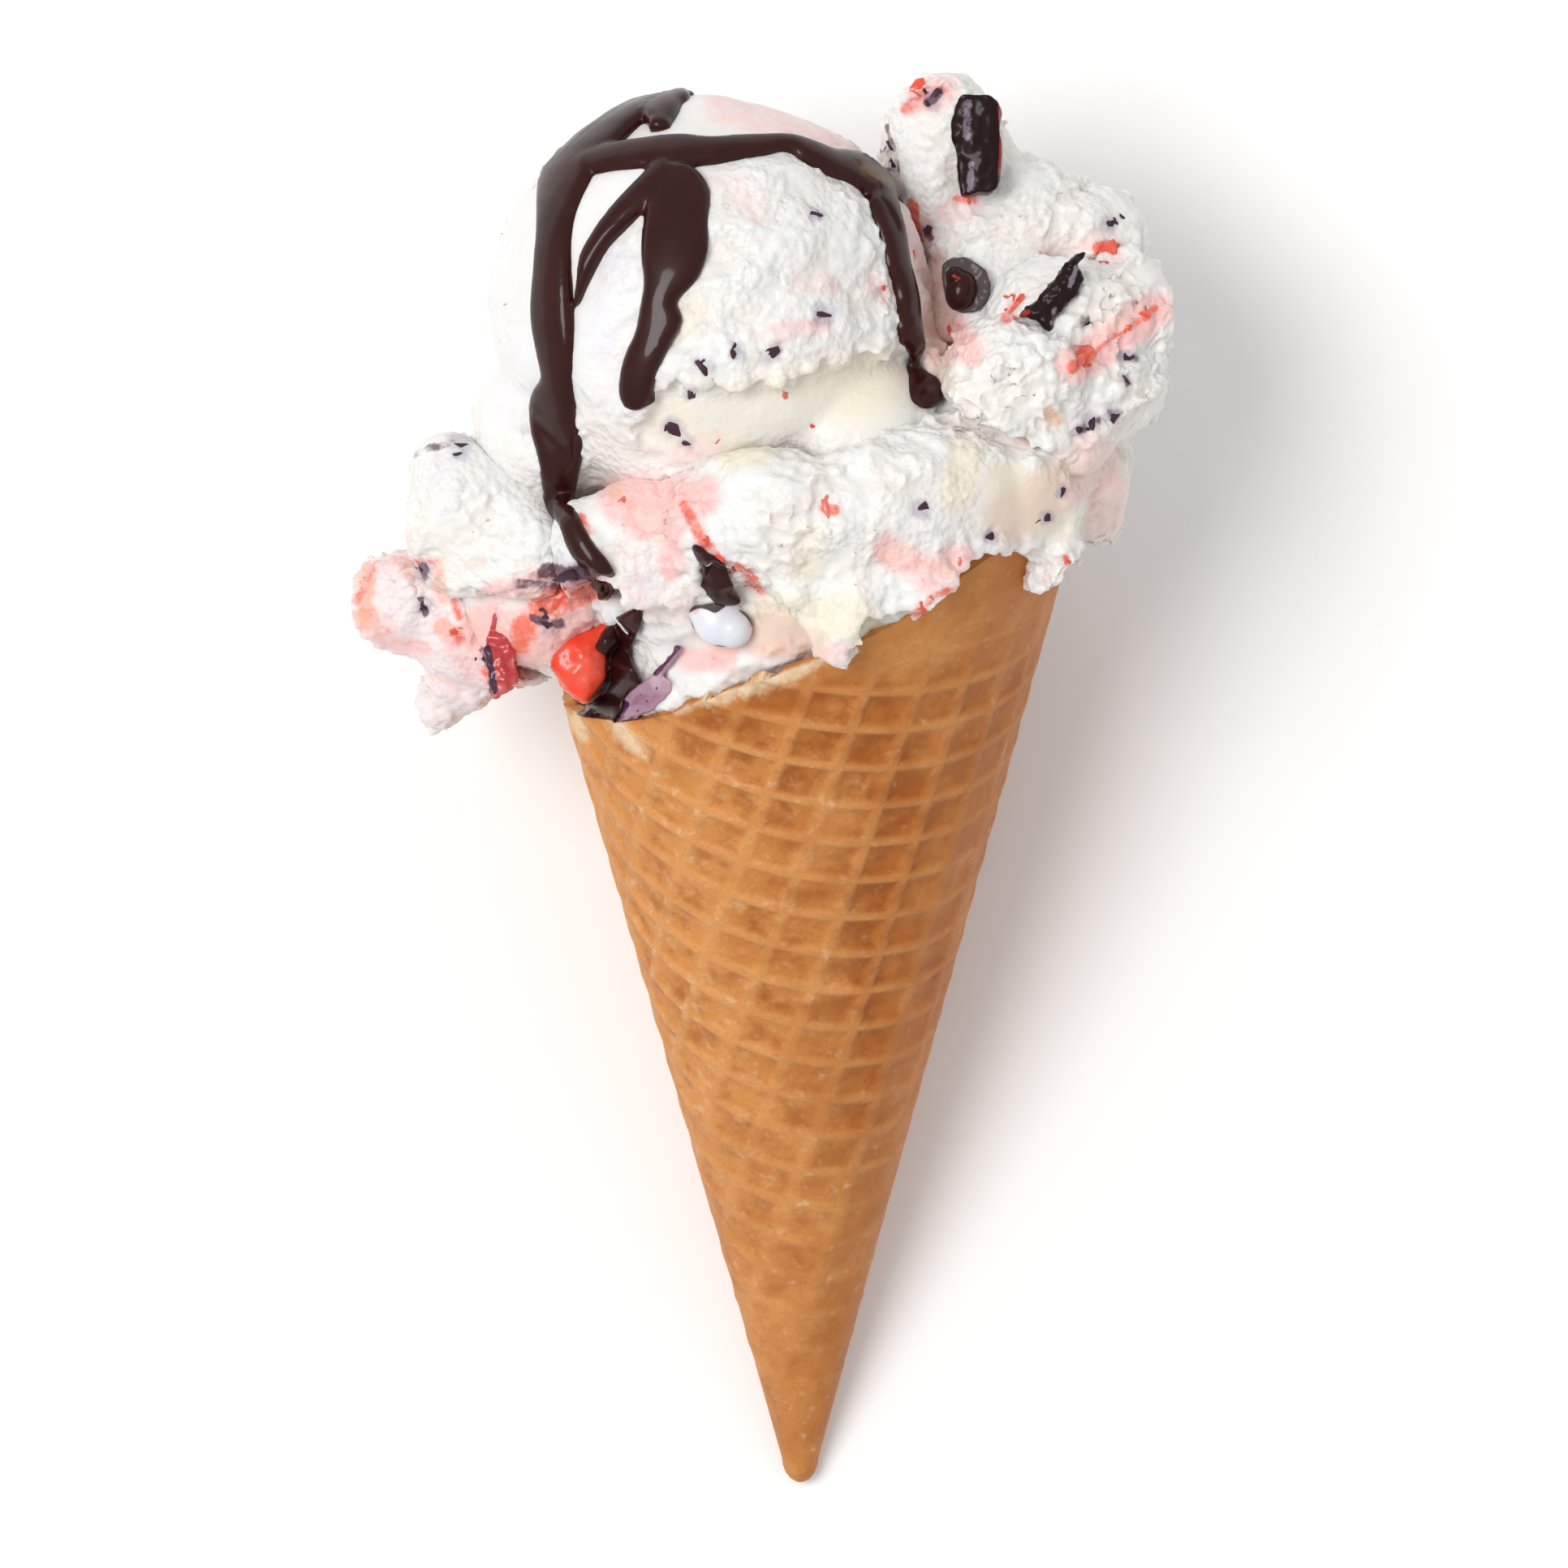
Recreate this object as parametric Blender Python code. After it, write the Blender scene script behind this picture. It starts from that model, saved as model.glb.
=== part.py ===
# A rolled waffle cone filled with berry ripple ice cream: one scooped ball on a rough heap,
# with chocolate drizzle, chocolate chunks and a piece of strawberry.
# It lies on its back with the shown side up. The tip and the back of the heap touch the ground.
#
# Everything is modelled upright first: +Z runs up the cone's axis from the point where its
# sides would meet, -Y is the shown front and +X is its right. An empty then lays it down.

import random
from math import atan2, cos, hypot, pi, radians, sin, tan

import bmesh
import bpy
from mathutils import Matrix, Vector, noise
from mathutils.bvhtree import BVHTree

mm = 0.001

# Cone
half_angle = radians(14.235)
wall = 2.6 * mm             # from the ridges' crests to the inner face
pocket_depth = 1.0 * mm
tip_height = 6.5 * mm       # the rounded tip lies this far above the sides' meeting point
tip_joint = 10.4 * mm       # where the straight sides go over into the round tip
tip_sides = 20
tip_ring = 17 * mm          # height of a ring of corners on the plain tip
tip_bend = (0.45, 0.8)      # shares of the tip's rounding at which it has corners
hollow_start = 23 * mm
lattice_start = 25 * mm     # below this the tip is plain
shallow_share = 0.35        # of the pockets' depth, at the lattice's start
shallow_reach = 25 * mm     # from there to where they have their full depth
seam_step = 1.4 * mm        # the outer turn stands this far proud of the turn under it
seam_turn = radians(70)     # in which the turn under it rises to the full radius
seam_rise = 40 * mm         # and the height in which the step grows to its full size
inner_sides = 48
inner_rings = ((90 * mm, 48), (50 * mm, 24), (hollow_start, 12))   # heights, and corners in each
crease_angle = radians(24)  # sharper edges than this show as edges

# Height of the rim round the cone: angle from the front, to the right, and height in mm
rim_points = [(-180, 131), (-135, 127), (-90, 126), (-60, 128.5), (-36, 132.5), (-15, 139), (3, 144),
              (20, 149), (46, 157), (83, 147), (115, 141), (148, 135)]

# Waffle grid, laid out on the unrolled cone with its corner at the sides' meeting point
grid_pitch = (7.836 * mm, 6.143 * mm)
grid_turn = radians(-12.76)
grid_shear = 0.0856
grid_corner = (-16.183 * mm, 139.247 * mm)
grid_cells = (range(-16, 22), range(-9, 26))
pocket_inset = 0.25         # of the pitch, from a ridge's crest to the pocket's floor
spare_pitches = 0.9         # of cells beyond the seam, which the seam then cuts
spare_below = 6 * mm
spare_above = 8 * mm

# Edges of the flat sheet: axis across it, place on that axis, side that is cut off
sheet_edges = {"seam_low": (0, -pi, -1), "seam_high": (0, pi, 1), "start": (1, 0, -1), "rim": (1, 1, 1)}
sheet_snap = (0.02, 0.006)  # corners nearer to an edge than this go to it, in radians and share of the height
sheet_touch = 1e-5          # how near counts as on the edge

# Pose on the ground
incline = radians(17)       # of the cone's axis
rest_flat = 0.12 * mm       # pressed off the round tip

# The picture that places of toppings are read from, in pixels
picture_scale = 9.0 / mm    # pixels to a metre at the axis
picture_centre = (980.5, 966)
picture_rise = radians(22)  # of the view over the rim's plane
picture_roll = radians(0.37)
picture_height = 112.12 * mm
picture_distance = 1500 * mm
picture_rounds = 8          # in which a point settles on its distance
sight_reach = 70 * mm       # before and behind the axis

# Fit
clearance = 0.9 * mm        # cut between two ice cream bodies, before they are faceted
wafer_clearance = 0.8 * mm
room_start = 1 * mm         # lowest place of the space that is cut for the wafer
room_sides = 64
ground_snap = 0.4 * mm      # corners nearer to the ground than this go to it
merge = 0.01 * mm           # corners nearer to each other than this are one
fused_merge = 0.04 * mm
topping_gap = 0.35 * mm
topping_sink = 0.35         # of its depth, sunk in the ice cream
topping_merge = 0.1 * mm

# Ice cream
joining_voxels = 1.0 * mm   # size of the voxels that join the lumps
cut_voxels = 0.9 * mm       # and of those that close a body again after the cuts
soften_rounds = 2
crag_sizes = ((9 * mm, 1), (4.5 * mm, 0.5))   # size of the crags, and share of their height
lump_fineness = 3

# Lumps of ice cream: across, up and front in mm, then half sizes in the same order
heap_lumps = [
    (0, 150, -2, 34, 22, 35),       # what fills the mouth of the cone
    (0, 147, -20, 35, 26, 27.5),    # the back, which rests on the ground
    (25, 165, 6, 16, 13, 22),       # under the ruffle
    (38, 158, 4, 7, 11, 13),
    (-18, 156, 26, 14, 11, 9),      # pink lobe in the middle
    (-34, 146, 12, 10, 12, 12),     # under the left lobes
    (7, 152, 38.5, 4.6, 8, 3.6),    # drips over the rim
    (16.5, 156, 36, 5, 6, 4),
    (34.6, 153, 23.5, 3.4, 6.5, 3.4),
]
skirt_height = 163.5        # ragged collar of the heap round the front
skirt_radius = 34.5
skirt_span = (-14, 100)
skirt_half_sizes = (9.5, 9.5, 7)
skirt_count = 12
skirt_vary = (0.88, 1.1)
skirt_lift = 1
under_span = (-60, 30)      # bulge that shows between the collar and the rim
under_half_sizes = (8.5, 8.5, 7)
under_depths = (8, 12)      # its middle at both ends, in from the cone's outer face
under_rise = 2.5            # and above the rim
under_count = 9
under_vary = (0.92, 1.08)
drip_span = (-2, 92)        # small drips that fray the collar's lower edge
drip_count = 15
drip_half_sizes = (3.0, 5.5, 3.0)
drip_vary = (0.7, 1.25)
drip_place = (0.2, 0.8)     # in its share of the span
drip_out = (2, 4.5)         # from the skirt's radius
drip_down = (7, 10)         # from the skirt's height
heap_seed = 4
plug_gap = 2.5 * mm         # over the hollow's floor
plug_top = 122 * mm
plug_sides = 64
scoop_lumps = [
    (-11, 182, 4, 29.3, 29, 29),
    (-31, 168, 9, 12, 10, 14),
    (7, 171, 8, 15, 13, 22),
]
peak_lumps = [
    (20.5, 199.5, -8, 8.6, 11, 9),
    (28.5, 188.5, -8, 12.5, 10.5, 11),
    (38.5, 188.5, -7, 8.5, 7, 9),
    (27, 178, -6, 14, 12, 15),
]
ruffle_lumps = [
    (37, 182, 9, 10.5, 8.5, 9),
    (44.5, 181, 4, 6, 8.5, 8.5),
    (28.5, 178, 20, 9, 8, 9),
    (39.5, 173, 10, 9.5, 8, 11),
    (33, 170, 16, 11, 7, 10),
]
left_lobe_lumps = [
    (-42.6, 157, 16, 8.6, 10, 10),
    (-35.5, 155, 19, 8, 8.5, 9),
    (-46, 163, 13, 4.6, 4.6, 5),
]
ripple_lobe_lumps = [
    (-53, 142.6, 8, 6.9, 6.2, 8),
    (-44.3, 140.2, 9, 9, 8, 9),
    (-37.3, 139.7, 11, 8, 8, 9),
    (-45.3, 132, 9, 4.8, 5.5, 5),
    (-47.8, 128, 10, 2.9, 4.0, 3.0),
]

# Drizzle on the ball: pixels across and down, and width in mm
drizzle_thickness = 1.7 * mm
drizzle_spacing = 3.2 * mm
drizzle_sides = 8
drizzle_end = 1.3 * mm      # length of its point
drizzle_routes = {
    "left": [(838, 128, 4), (780, 135, 5), (735, 155, 6), (690, 200, 6.4), (686, 250, 6), (683, 330, 5.4),
             (683, 400, 5), (688, 455, 4.4), (682, 510, 6), (688, 555, 4.6), (690, 578, 3.6)],
    "across": [(700, 205, 4), (800, 188, 4.6), (870, 188, 4.4), (936, 181, 3), (985, 184, 3),
               (1050, 205, 3.6), (1088, 228, 4.4), (1094, 272, 3.2), (1106, 320, 2.8), (1117, 380, 3),
               (1124, 430, 3), (1122, 455, 2.8), (1140, 487, 5)],
    "middle": [(850, 195, 6), (845, 240, 8), (834, 290, 8.6), (824, 335, 6.8), (811, 365, 4.6), (811, 400, 5),
               (796, 440, 4.4), (785, 495, 4.4)],
    "branch": [(815, 215, 4), (776, 262, 3.6), (740, 308, 3), (722, 345, 2.2), (711, 378, 1.2)],
    "crown": [(790, 140, 3), (803, 158, 2.6)],
}
drip_route = [(697, 618, 3.6), (714, 652, 3), (738, 698, 2.8), (752, 738, 3.6)]  # its tail on the heap

# Toppings: pixels across and down, half sizes in mm (across, up, deep), turn in the picture
topping_fineness = 2
topping_uneven = 0.22       # of its size
topping_lumps = 5 * mm      # size of the unevenness
topping_step = 7            # between the toppings' places in the noise
chunks = {
    "chocolate_chunk_top": (1203, 185, 3.3, 7.0, 3.2, 0),
    "chocolate_chunk_right": (1302, 356, 2.6, 6.2, 2.8, -38),
    "chocolate_bead": (1191, 351, 3.3, 4.0, 3.2, 20),
    "chocolate_curl": (766, 822, 2.5, 8.0, 2.4, -20),
    "chocolate_drop": (890, 735, 3.6, 7.0, 3.2, 24),
}
fruit_pieces = {
    "strawberry_piece": (724, 808, 6.2, 6.2, 5.0, 10),
    "berry_piece": (618, 802, 2.3, 5.6, 2.4, -8),
}

# Facets and height of the crags for each body
heap_detail = (2700, 1.6 * mm)
scoop_detail = (1300, 0.8 * mm)
peak_detail = (800, 1.4 * mm)
ruffle_detail = (900, 1.8 * mm)
left_lobe_detail = (460, 1.2 * mm)
ripple_lobe_detail = (560, 1.4 * mm)

# Finishes: colour and roughness
finishes = {
    "baked_wafer": ((0.62, 0.32, 0.12), 0.6),
    "vanilla_ice_cream": ((0.88, 0.84, 0.78), 0.45),
    "berry_ripple": ((0.85, 0.6, 0.58), 0.45),
    "dark_chocolate": ((0.035, 0.016, 0.014), 0.25),
    "strawberry_flesh": ((0.75, 0.09, 0.04), 0.35),
}


def upright(across, up, front):
    """A point of the upright model from sizes in mm."""
    return Vector((across, -front, up)) * mm


def clear_scene():
    for thing in list(bpy.data.objects):
        bpy.data.objects.remove(thing, do_unlink=True)


def finish(name):
    colour, roughness = finishes[name]
    material = bpy.data.materials.new(name)
    material.use_nodes = True
    shader = material.node_tree.nodes["Principled BSDF"]
    shader.inputs["Base Color"].default_value = (*colour, 1)
    shader.inputs["Roughness"].default_value = roughness
    material.diffuse_color = (*colour, 1)
    return material


def make_object(name, bm, material=None):
    mesh = bpy.data.meshes.new(name)
    bm.to_mesh(mesh)
    bm.free()
    thing = bpy.data.objects.new(name, mesh)
    bpy.context.scene.collection.objects.link(thing)
    if material:
        mesh.materials.append(material)
    return thing


def apply_modifiers(thing):
    depsgraph = bpy.context.evaluated_depsgraph_get()
    mesh = bpy.data.meshes.new_from_object(thing.evaluated_get(depsgraph))
    thing.modifiers.clear()
    old = thing.data
    thing.data = mesh
    bpy.data.meshes.remove(old)


def copy_of(thing, name):
    copy = thing.copy()
    copy.data = thing.data.copy()
    copy.name = name
    bpy.context.scene.collection.objects.link(copy)
    return copy


def discard(thing):
    mesh = thing.data
    bpy.data.objects.remove(thing, do_unlink=True)
    bpy.data.meshes.remove(mesh)


def inflated(thing, distance):
    """A copy whose surface lies further out by the distance."""
    fat = copy_of(thing, thing.name + "_fat")
    push = fat.modifiers.new("push", "DISPLACE")
    push.strength = distance
    push.mid_level = 0
    apply_modifiers(fat)
    return fat


def largest_piece(thing):
    """Drops loose scraps that a cut leaves."""
    bm = bmesh.new()
    bm.from_mesh(thing.data)
    unseen = set(bm.verts)
    pieces = []
    while unseen:
        piece = {unseen.pop()}
        edge = list(piece)
        while edge:
            near = {e.other_vert(v) for v in edge for e in v.link_edges} - piece
            piece |= near
            edge = list(near)
        unseen -= piece
        pieces.append(piece)
    pieces.sort(key=len)
    bmesh.ops.delete(bm, geom=[v for piece in pieces[:-1] for v in piece], context="VERTS")
    bm.to_mesh(thing.data)
    bm.free()


# Cone

def rim_height(angle):
    """Height of the rim at an angle from the front, on a smooth closed curve through rim_points."""
    degrees = (angle * 180 / pi + 180) % 360 - 180
    count = len(rim_points)
    after = next((n for n in range(count) if rim_points[n][0] > degrees), count)
    knots = []
    for n in range(after - 2, after + 2):
        turn, place = divmod(n, count)
        knots.append((rim_points[place][0] + 360 * turn, rim_points[place][1]))
    (a0, h0), (a1, h1), (a2, h2), (a3, h3) = knots
    slope1 = (h2 - h0) / (a2 - a0) * (a2 - a1)
    slope2 = (h3 - h1) / (a3 - a1) * (a2 - a1)
    t = (degrees - a1) / (a2 - a1)
    return mm * (h1 * (2 * t**3 - 3 * t**2 + 1) + slope1 * (t**3 - 2 * t**2 + t)
                 + h2 * (3 * t**2 - 2 * t**3) + slope2 * (t**3 - t**2))


def ease(t):
    t = min(max(t, 0), 1)
    return t * t * (3 - 2 * t)


def on_cone(angle, height, depth=0.0):
    """A point on the cone's outer face, or below it by a depth."""
    radius = height * tan(half_angle) - depth / cos(half_angle)
    return Vector((radius * sin(angle), -radius * cos(angle), height))


def seam_depth(angle, height):
    """The sheet starts under its last turn at the back, and rises to the full radius from there."""
    tuck = 1 - ease((angle + pi) / seam_turn)
    return seam_step * tuck * ease((height - lattice_start) / seam_rise)


def unroll(i, j):
    """Angle and height of a grid crossing on the cone."""
    along = i * grid_pitch[0] - grid_shear * j * grid_pitch[1]
    down = -j * grid_pitch[1]
    flat_x = grid_corner[0] + along * cos(grid_turn) - down * sin(grid_turn)
    flat_y = grid_corner[1] + along * sin(grid_turn) + down * cos(grid_turn)
    return atan2(flat_x, flat_y) / sin(half_angle), hypot(flat_x, flat_y) * cos(half_angle)


def grid_sheet():
    """The waffle relief on a flat sheet: x is the angle, y runs from 0 at the lattice's start to 1 at
    the rim, and z is the depth. Straight cuts then trim it to the seam, the rim and the tip."""
    bm = bmesh.new()
    made = {}

    def corner(i, j, depth):
        key = (round(i, 3), round(j, 3))
        if key not in made:
            angle, height = unroll(i, j)
            share = (height - lattice_start) / (rim_height(angle) - lattice_start)
            made[key] = bm.verts.new((angle, share, depth))
        return made[key]

    for i in grid_cells[0]:
        for j in grid_cells[1]:
            angle, height = unroll(i + 0.5, j)
            if abs(angle) > pi + spare_pitches * grid_pitch[0] / (height * sin(half_angle)):
                continue
            if not lattice_start - spare_below < height < rim_height(angle) + spare_above:
                continue
            full = ease((height - lattice_start) / shallow_reach)
            depth = pocket_depth * (shallow_share + (1 - shallow_share) * full)
            outer = [(i, j - 0.5), (i, j + 0.5), (i + 1, j + 0.5), (i + 1, j - 0.5)]
            inner = [(i + 0.5 + (u - i - 0.5) * (1 - 2 * pocket_inset), j + (v - j) * (1 - 2 * pocket_inset))
                     for u, v in outer]
            top = [corner(u, v, 0) for u, v in outer]
            floor = [corner(u, v, depth) for u, v in inner]
            bm.faces.new(floor)
            for n in range(4):
                bm.faces.new((top[n], top[n - 3], floor[n - 3], floor[n]))
    for axis, value, side in sheet_edges.values():
        for vertex in bm.verts:
            if abs(vertex.co[axis] - value) < sheet_snap[axis]:
                vertex.co[axis] = value
        normal = [0, 0, 0]
        normal[axis] = side
        place = [0, 0, 0]
        place[axis] = value
        geom = bm.verts[:] + bm.edges[:] + bm.faces[:]
        bmesh.ops.bisect_plane(bm, geom=geom, dist=sheet_touch / 10, plane_co=place, plane_no=normal,
                               clear_outer=True)
        flat = [f for f in bm.faces if all(abs(v.co[axis] - value) < sheet_touch for v in f.verts)]
        bmesh.ops.delete(bm, geom=flat, context="FACES")
    return bm


def fill_between(bm, first, second):
    """Fills the band between two chains, which are lists of (place along the band, vertex)."""
    a, b = 0, 0
    while a < len(first) - 1 or b < len(second) - 1:
        step_first = b == len(second) - 1 or (a < len(first) - 1 and first[a + 1][0] <= second[b + 1][0])
        if step_first:
            corners = (first[a][1], first[a + 1][1], second[b][1])
            a += 1
        else:
            corners = (first[a][1], second[b + 1][1], second[b][1])
            b += 1
        if len(set(corners)) == 3:
            bm.faces.new(corners)


def ring(bm, sides, place):
    """A closed chain round the axis, from the seam at the back to the seam again."""
    angles = [-pi + 2 * pi * n / sides for n in range(sides)]
    chain = [(angle, bm.verts.new(place(angle))) for angle in angles]
    return chain + [(pi, chain[0][1])]


def build_cone(material):
    bm = grid_sheet()
    chains = {}
    for name, (axis, value, _) in sheet_edges.items():
        found = [v for v in bm.verts if abs(v.co[axis] - value) < sheet_touch]
        chains[name] = sorted([(v.co[1 - axis], v) for v in found], key=lambda entry: entry[0])
    for v in bm.verts:
        angle, share, depth = v.co
        height = lattice_start + share * (rim_height(angle) - lattice_start)
        v.co = on_cone(angle, height, depth + seam_depth(angle, height))

    # The seam's step, which closes to nothing at the lattice's start
    low, high, start, rim = (chains[name] for name in ("seam_low", "seam_high", "start", "rim"))
    bmesh.ops.weld_verts(bm, targetmap={high[0][1]: low[0][1]})
    high[0] = low[0]
    start[-1] = (pi, low[0][1])
    fill_between(bm, high, low)

    # Rim, inner face and the floor of the hollow
    upper = ring(bm, inner_sides, lambda angle: on_cone(angle, rim_height(angle), wall))
    fill_between(bm, upper, rim)
    bm.faces.new((rim[-1][1], rim[0][1], upper[0][1]))
    for height, sides in inner_rings:
        lower = ring(bm, sides, lambda angle: on_cone(angle, height, wall))
        fill_between(bm, lower, upper)
        upper = lower
    bm.faces.new([v for _, v in upper[:-1]])

    # Plain tip, closed by a rounded end
    upper = start
    joint_radius = tip_joint * tan(half_angle)
    for height in (tip_ring, tip_joint):
        lower = ring(bm, tip_sides, lambda angle: on_cone(angle, height))
        fill_between(bm, upper, lower)
        upper = lower
    for share in tip_bend:
        radius = joint_radius * cos(share * pi / 2)
        height = tip_joint - (tip_joint - tip_height) * sin(share * pi / 2)
        lower = ring(bm, tip_sides, lambda angle: Vector((radius * sin(angle), -radius * cos(angle), height)))
        fill_between(bm, upper, lower)
        upper = lower
    bm.faces.new([v for _, v in upper[:-1]])

    bmesh.ops.remove_doubles(bm, verts=bm.verts, dist=merge)
    bmesh.ops.triangulate(bm, faces=bm.faces)
    bmesh.ops.recalc_face_normals(bm, faces=bm.faces)
    cone = make_object("waffle_cone", bm, material)
    cone.data.shade_smooth()
    cone.data.set_sharp_from_angle(angle=crease_angle)
    return cone


def wafer_room():
    """The wafer's space with its clearance, which the ice cream is cut by."""
    bm = bmesh.new()
    faces = ((room_start, -wafer_clearance, (0, 0.5, 1)), (hollow_start, wall + wafer_clearance, (1, 0.5, 0)))
    chains = []
    for low, depth, shares in faces:
        for share in shares:
            chains.append(ring(bm, room_sides, lambda angle: on_cone(
                angle, low + share * (rim_height(angle) + wafer_clearance - low), depth)))
    for upper, lower in zip(chains, chains[1:]):
        fill_between(bm, upper, lower)
    for end in (chains[0], chains[-1]):
        bm.faces.new([v for _, v in end[:-1]])
    bmesh.ops.recalc_face_normals(bm, faces=bm.faces)
    return make_object("wafer_room", bm)


# Ice cream

def lump(bm, across, up, front, half_across, half_up, half_front):
    stretch = Matrix.Diagonal((half_across * mm, half_front * mm, half_up * mm, 1))
    place = Matrix.Translation(upright(across, up, front))
    bmesh.ops.create_icosphere(bm, subdivisions=lump_fineness, radius=1, matrix=place @ stretch)


def ragged(thing, size, height):
    """Crags, as a push in and out by smooth noise of the given size."""
    normals = [vertex.normal.copy() for vertex in thing.data.vertices]
    for vertex, normal in zip(thing.data.vertices, normals):
        vertex.co += normal * height * noise.noise(vertex.co / size)
    thing.data.update()


def remesh(thing, size):
    voxels = thing.modifiers.new("voxels", "REMESH")
    voxels.mode = "VOXEL"
    voxels.voxel_size = size
    apply_modifiers(thing)


def cut(thing, tools):
    for tool in tools:
        taking = thing.modifiers.new("cut", "BOOLEAN")
        taking.operation = "DIFFERENCE"
        taking.solver = "MANIFOLD"
        taking.object = tool
    apply_modifiers(thing)


def soft_body(name, bm, neighbours, rooms, detail, material):
    """Joins lumps into one body, roughens it, cuts it clear of its neighbours and facets it."""
    facets, crag = detail
    body = make_object(name, bm)
    remesh(body, joining_voxels)
    soften = body.modifiers.new("soften", "SMOOTH")
    soften.iterations = soften_rounds
    apply_modifiers(body)
    for size, share in crag_sizes:
        ragged(body, size, crag * share)
    tools = [inflated(other, clearance) for other in neighbours] + rooms
    if tools:
        cut(body, tools)
    for tool in tools[:len(neighbours)]:
        discard(tool)
    remesh(body, cut_voxels)
    largest_piece(body)
    triangles = sum(len(p.vertices) - 2 for p in body.data.polygons)
    facet = body.modifiers.new("facets", "DECIMATE")
    facet.ratio = facets / triangles
    apply_modifiers(body)
    body.data.materials.clear()
    body.data.materials.append(material)
    body.data.shade_smooth()
    return body


def ground_flat(thing, drop):
    """Cuts off what lies below the ground and closes the cut with one flat face."""
    up = Vector((0, -cos(incline), sin(incline)))
    bm = bmesh.new()
    bm.from_mesh(thing.data)
    for vertex in bm.verts:
        height = vertex.co.dot(up) + drop
        if abs(height) < ground_snap:
            vertex.co -= up * height
    geom = bm.verts[:] + bm.edges[:] + bm.faces[:]
    bmesh.ops.bisect_plane(bm, geom=geom, dist=merge, plane_co=up * -drop, plane_no=up, clear_inner=True)
    bmesh.ops.holes_fill(bm, edges=[e for e in bm.edges if e.is_boundary])
    bmesh.ops.triangulate(bm, faces=bm.faces)
    bm.to_mesh(thing.data)
    bm.free()


def heap_mesh():
    draw = random.Random(heap_seed)
    bm = bmesh.new()
    for sizes in heap_lumps:
        lump(bm, *sizes)
    first, last = skirt_span
    for n in range(skirt_count):
        angle = radians(first + (last - first) * n / (skirt_count - 1))
        sizes = [size * draw.uniform(*skirt_vary) for size in skirt_half_sizes]
        height = skirt_height + draw.uniform(-skirt_lift, skirt_lift)
        lump(bm, skirt_radius * sin(angle), height, skirt_radius * cos(angle), *sizes)
    first, last = drip_span
    for n in range(drip_count):
        angle = radians(first + (last - first) * (n + draw.uniform(*drip_place)) / drip_count)
        sizes = [size * draw.uniform(*drip_vary) for size in drip_half_sizes]
        radius = skirt_radius + draw.uniform(*drip_out)
        lump(bm, radius * sin(angle), skirt_height - draw.uniform(*drip_down), radius * cos(angle), *sizes)
    first, last = under_span
    for n in range(under_count):
        share = n / (under_count - 1)
        angle = radians(first + (last - first) * share)
        height = rim_height(angle) / mm + under_rise
        radius = height * tan(half_angle) - under_depths[0] - (under_depths[1] - under_depths[0]) * share
        sizes = [size * draw.uniform(*under_vary) for size in under_half_sizes]
        lump(bm, radius * sin(angle), height, radius * cos(angle), *sizes)
    # The plug that fills the cone
    low = hollow_start + plug_gap
    inset = (wall + wafer_clearance) / cos(half_angle)
    bmesh.ops.create_cone(bm, cap_ends=True, segments=plug_sides, radius1=low * tan(half_angle) - inset,
                          radius2=plug_top * tan(half_angle) - inset, depth=plug_top - low,
                          matrix=Matrix.Translation((0, 0, (low + plug_top) / 2)))
    return bm


def lumps_mesh(lumps):
    bm = bmesh.new()
    for sizes in lumps:
        lump(bm, *sizes)
    return bm


# Toppings, placed by the picture

def picture_point(across, down, front):
    """The point under a pixel, at a distance in front of the cone's axis."""
    scale = picture_scale
    for _ in range(picture_rounds):
        p, q = (across - picture_centre[0]) / scale, (picture_centre[1] - down) / scale
        u = p * cos(picture_roll) + q * sin(picture_roll)
        v = q * cos(picture_roll) - p * sin(picture_roll)
        height = picture_height + (v + front * sin(picture_rise)) / cos(picture_rise)
        nearness = (height - picture_height) * sin(picture_rise) + front * cos(picture_rise)
        scale = picture_scale * picture_distance / (picture_distance - nearness)
    return Vector((u, -front, height))


def surface_of(thing):
    bm = bmesh.new()
    bm.from_mesh(thing.data)
    tree = BVHTree.FromBMesh(bm)
    bm.free()
    return tree


def seat(tree, across, down):
    """Where the line of sight through a pixel meets a surface, and the surface's direction there."""
    start, end = picture_point(across, down, sight_reach), picture_point(across, down, -sight_reach)
    place, normal, _, _ = tree.ray_cast(start, (end - start).normalized())
    return (place, normal) if place else (None, None)


def smooth_route(points, spacing):
    """Evenly spaced places and widths on a smooth curve through the points."""
    result = []
    for n in range(len(points) - 1):
        p0, p1 = points[max(n - 1, 0)], points[n]
        p2, p3 = points[n + 1], points[min(n + 2, len(points) - 1)]
        steps = max(1, round((p2[0] - p1[0]).length / spacing))
        for k in range(steps):
            t = k / steps
            mix = [(-t**3 + 2 * t**2 - t) / 2, (3 * t**3 - 5 * t**2 + 2) / 2, (-3 * t**3 + 4 * t**2 + t) / 2,
                   (t**3 - t**2) / 2]
            place = sum((p[0] * m for p, m in zip((p0, p1, p2, p3), mix)), Vector())
            result.append((place, sum(p[1] * m for p, m in zip((p0, p1, p2, p3), mix))))
    result.append(points[-1])
    return result


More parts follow.
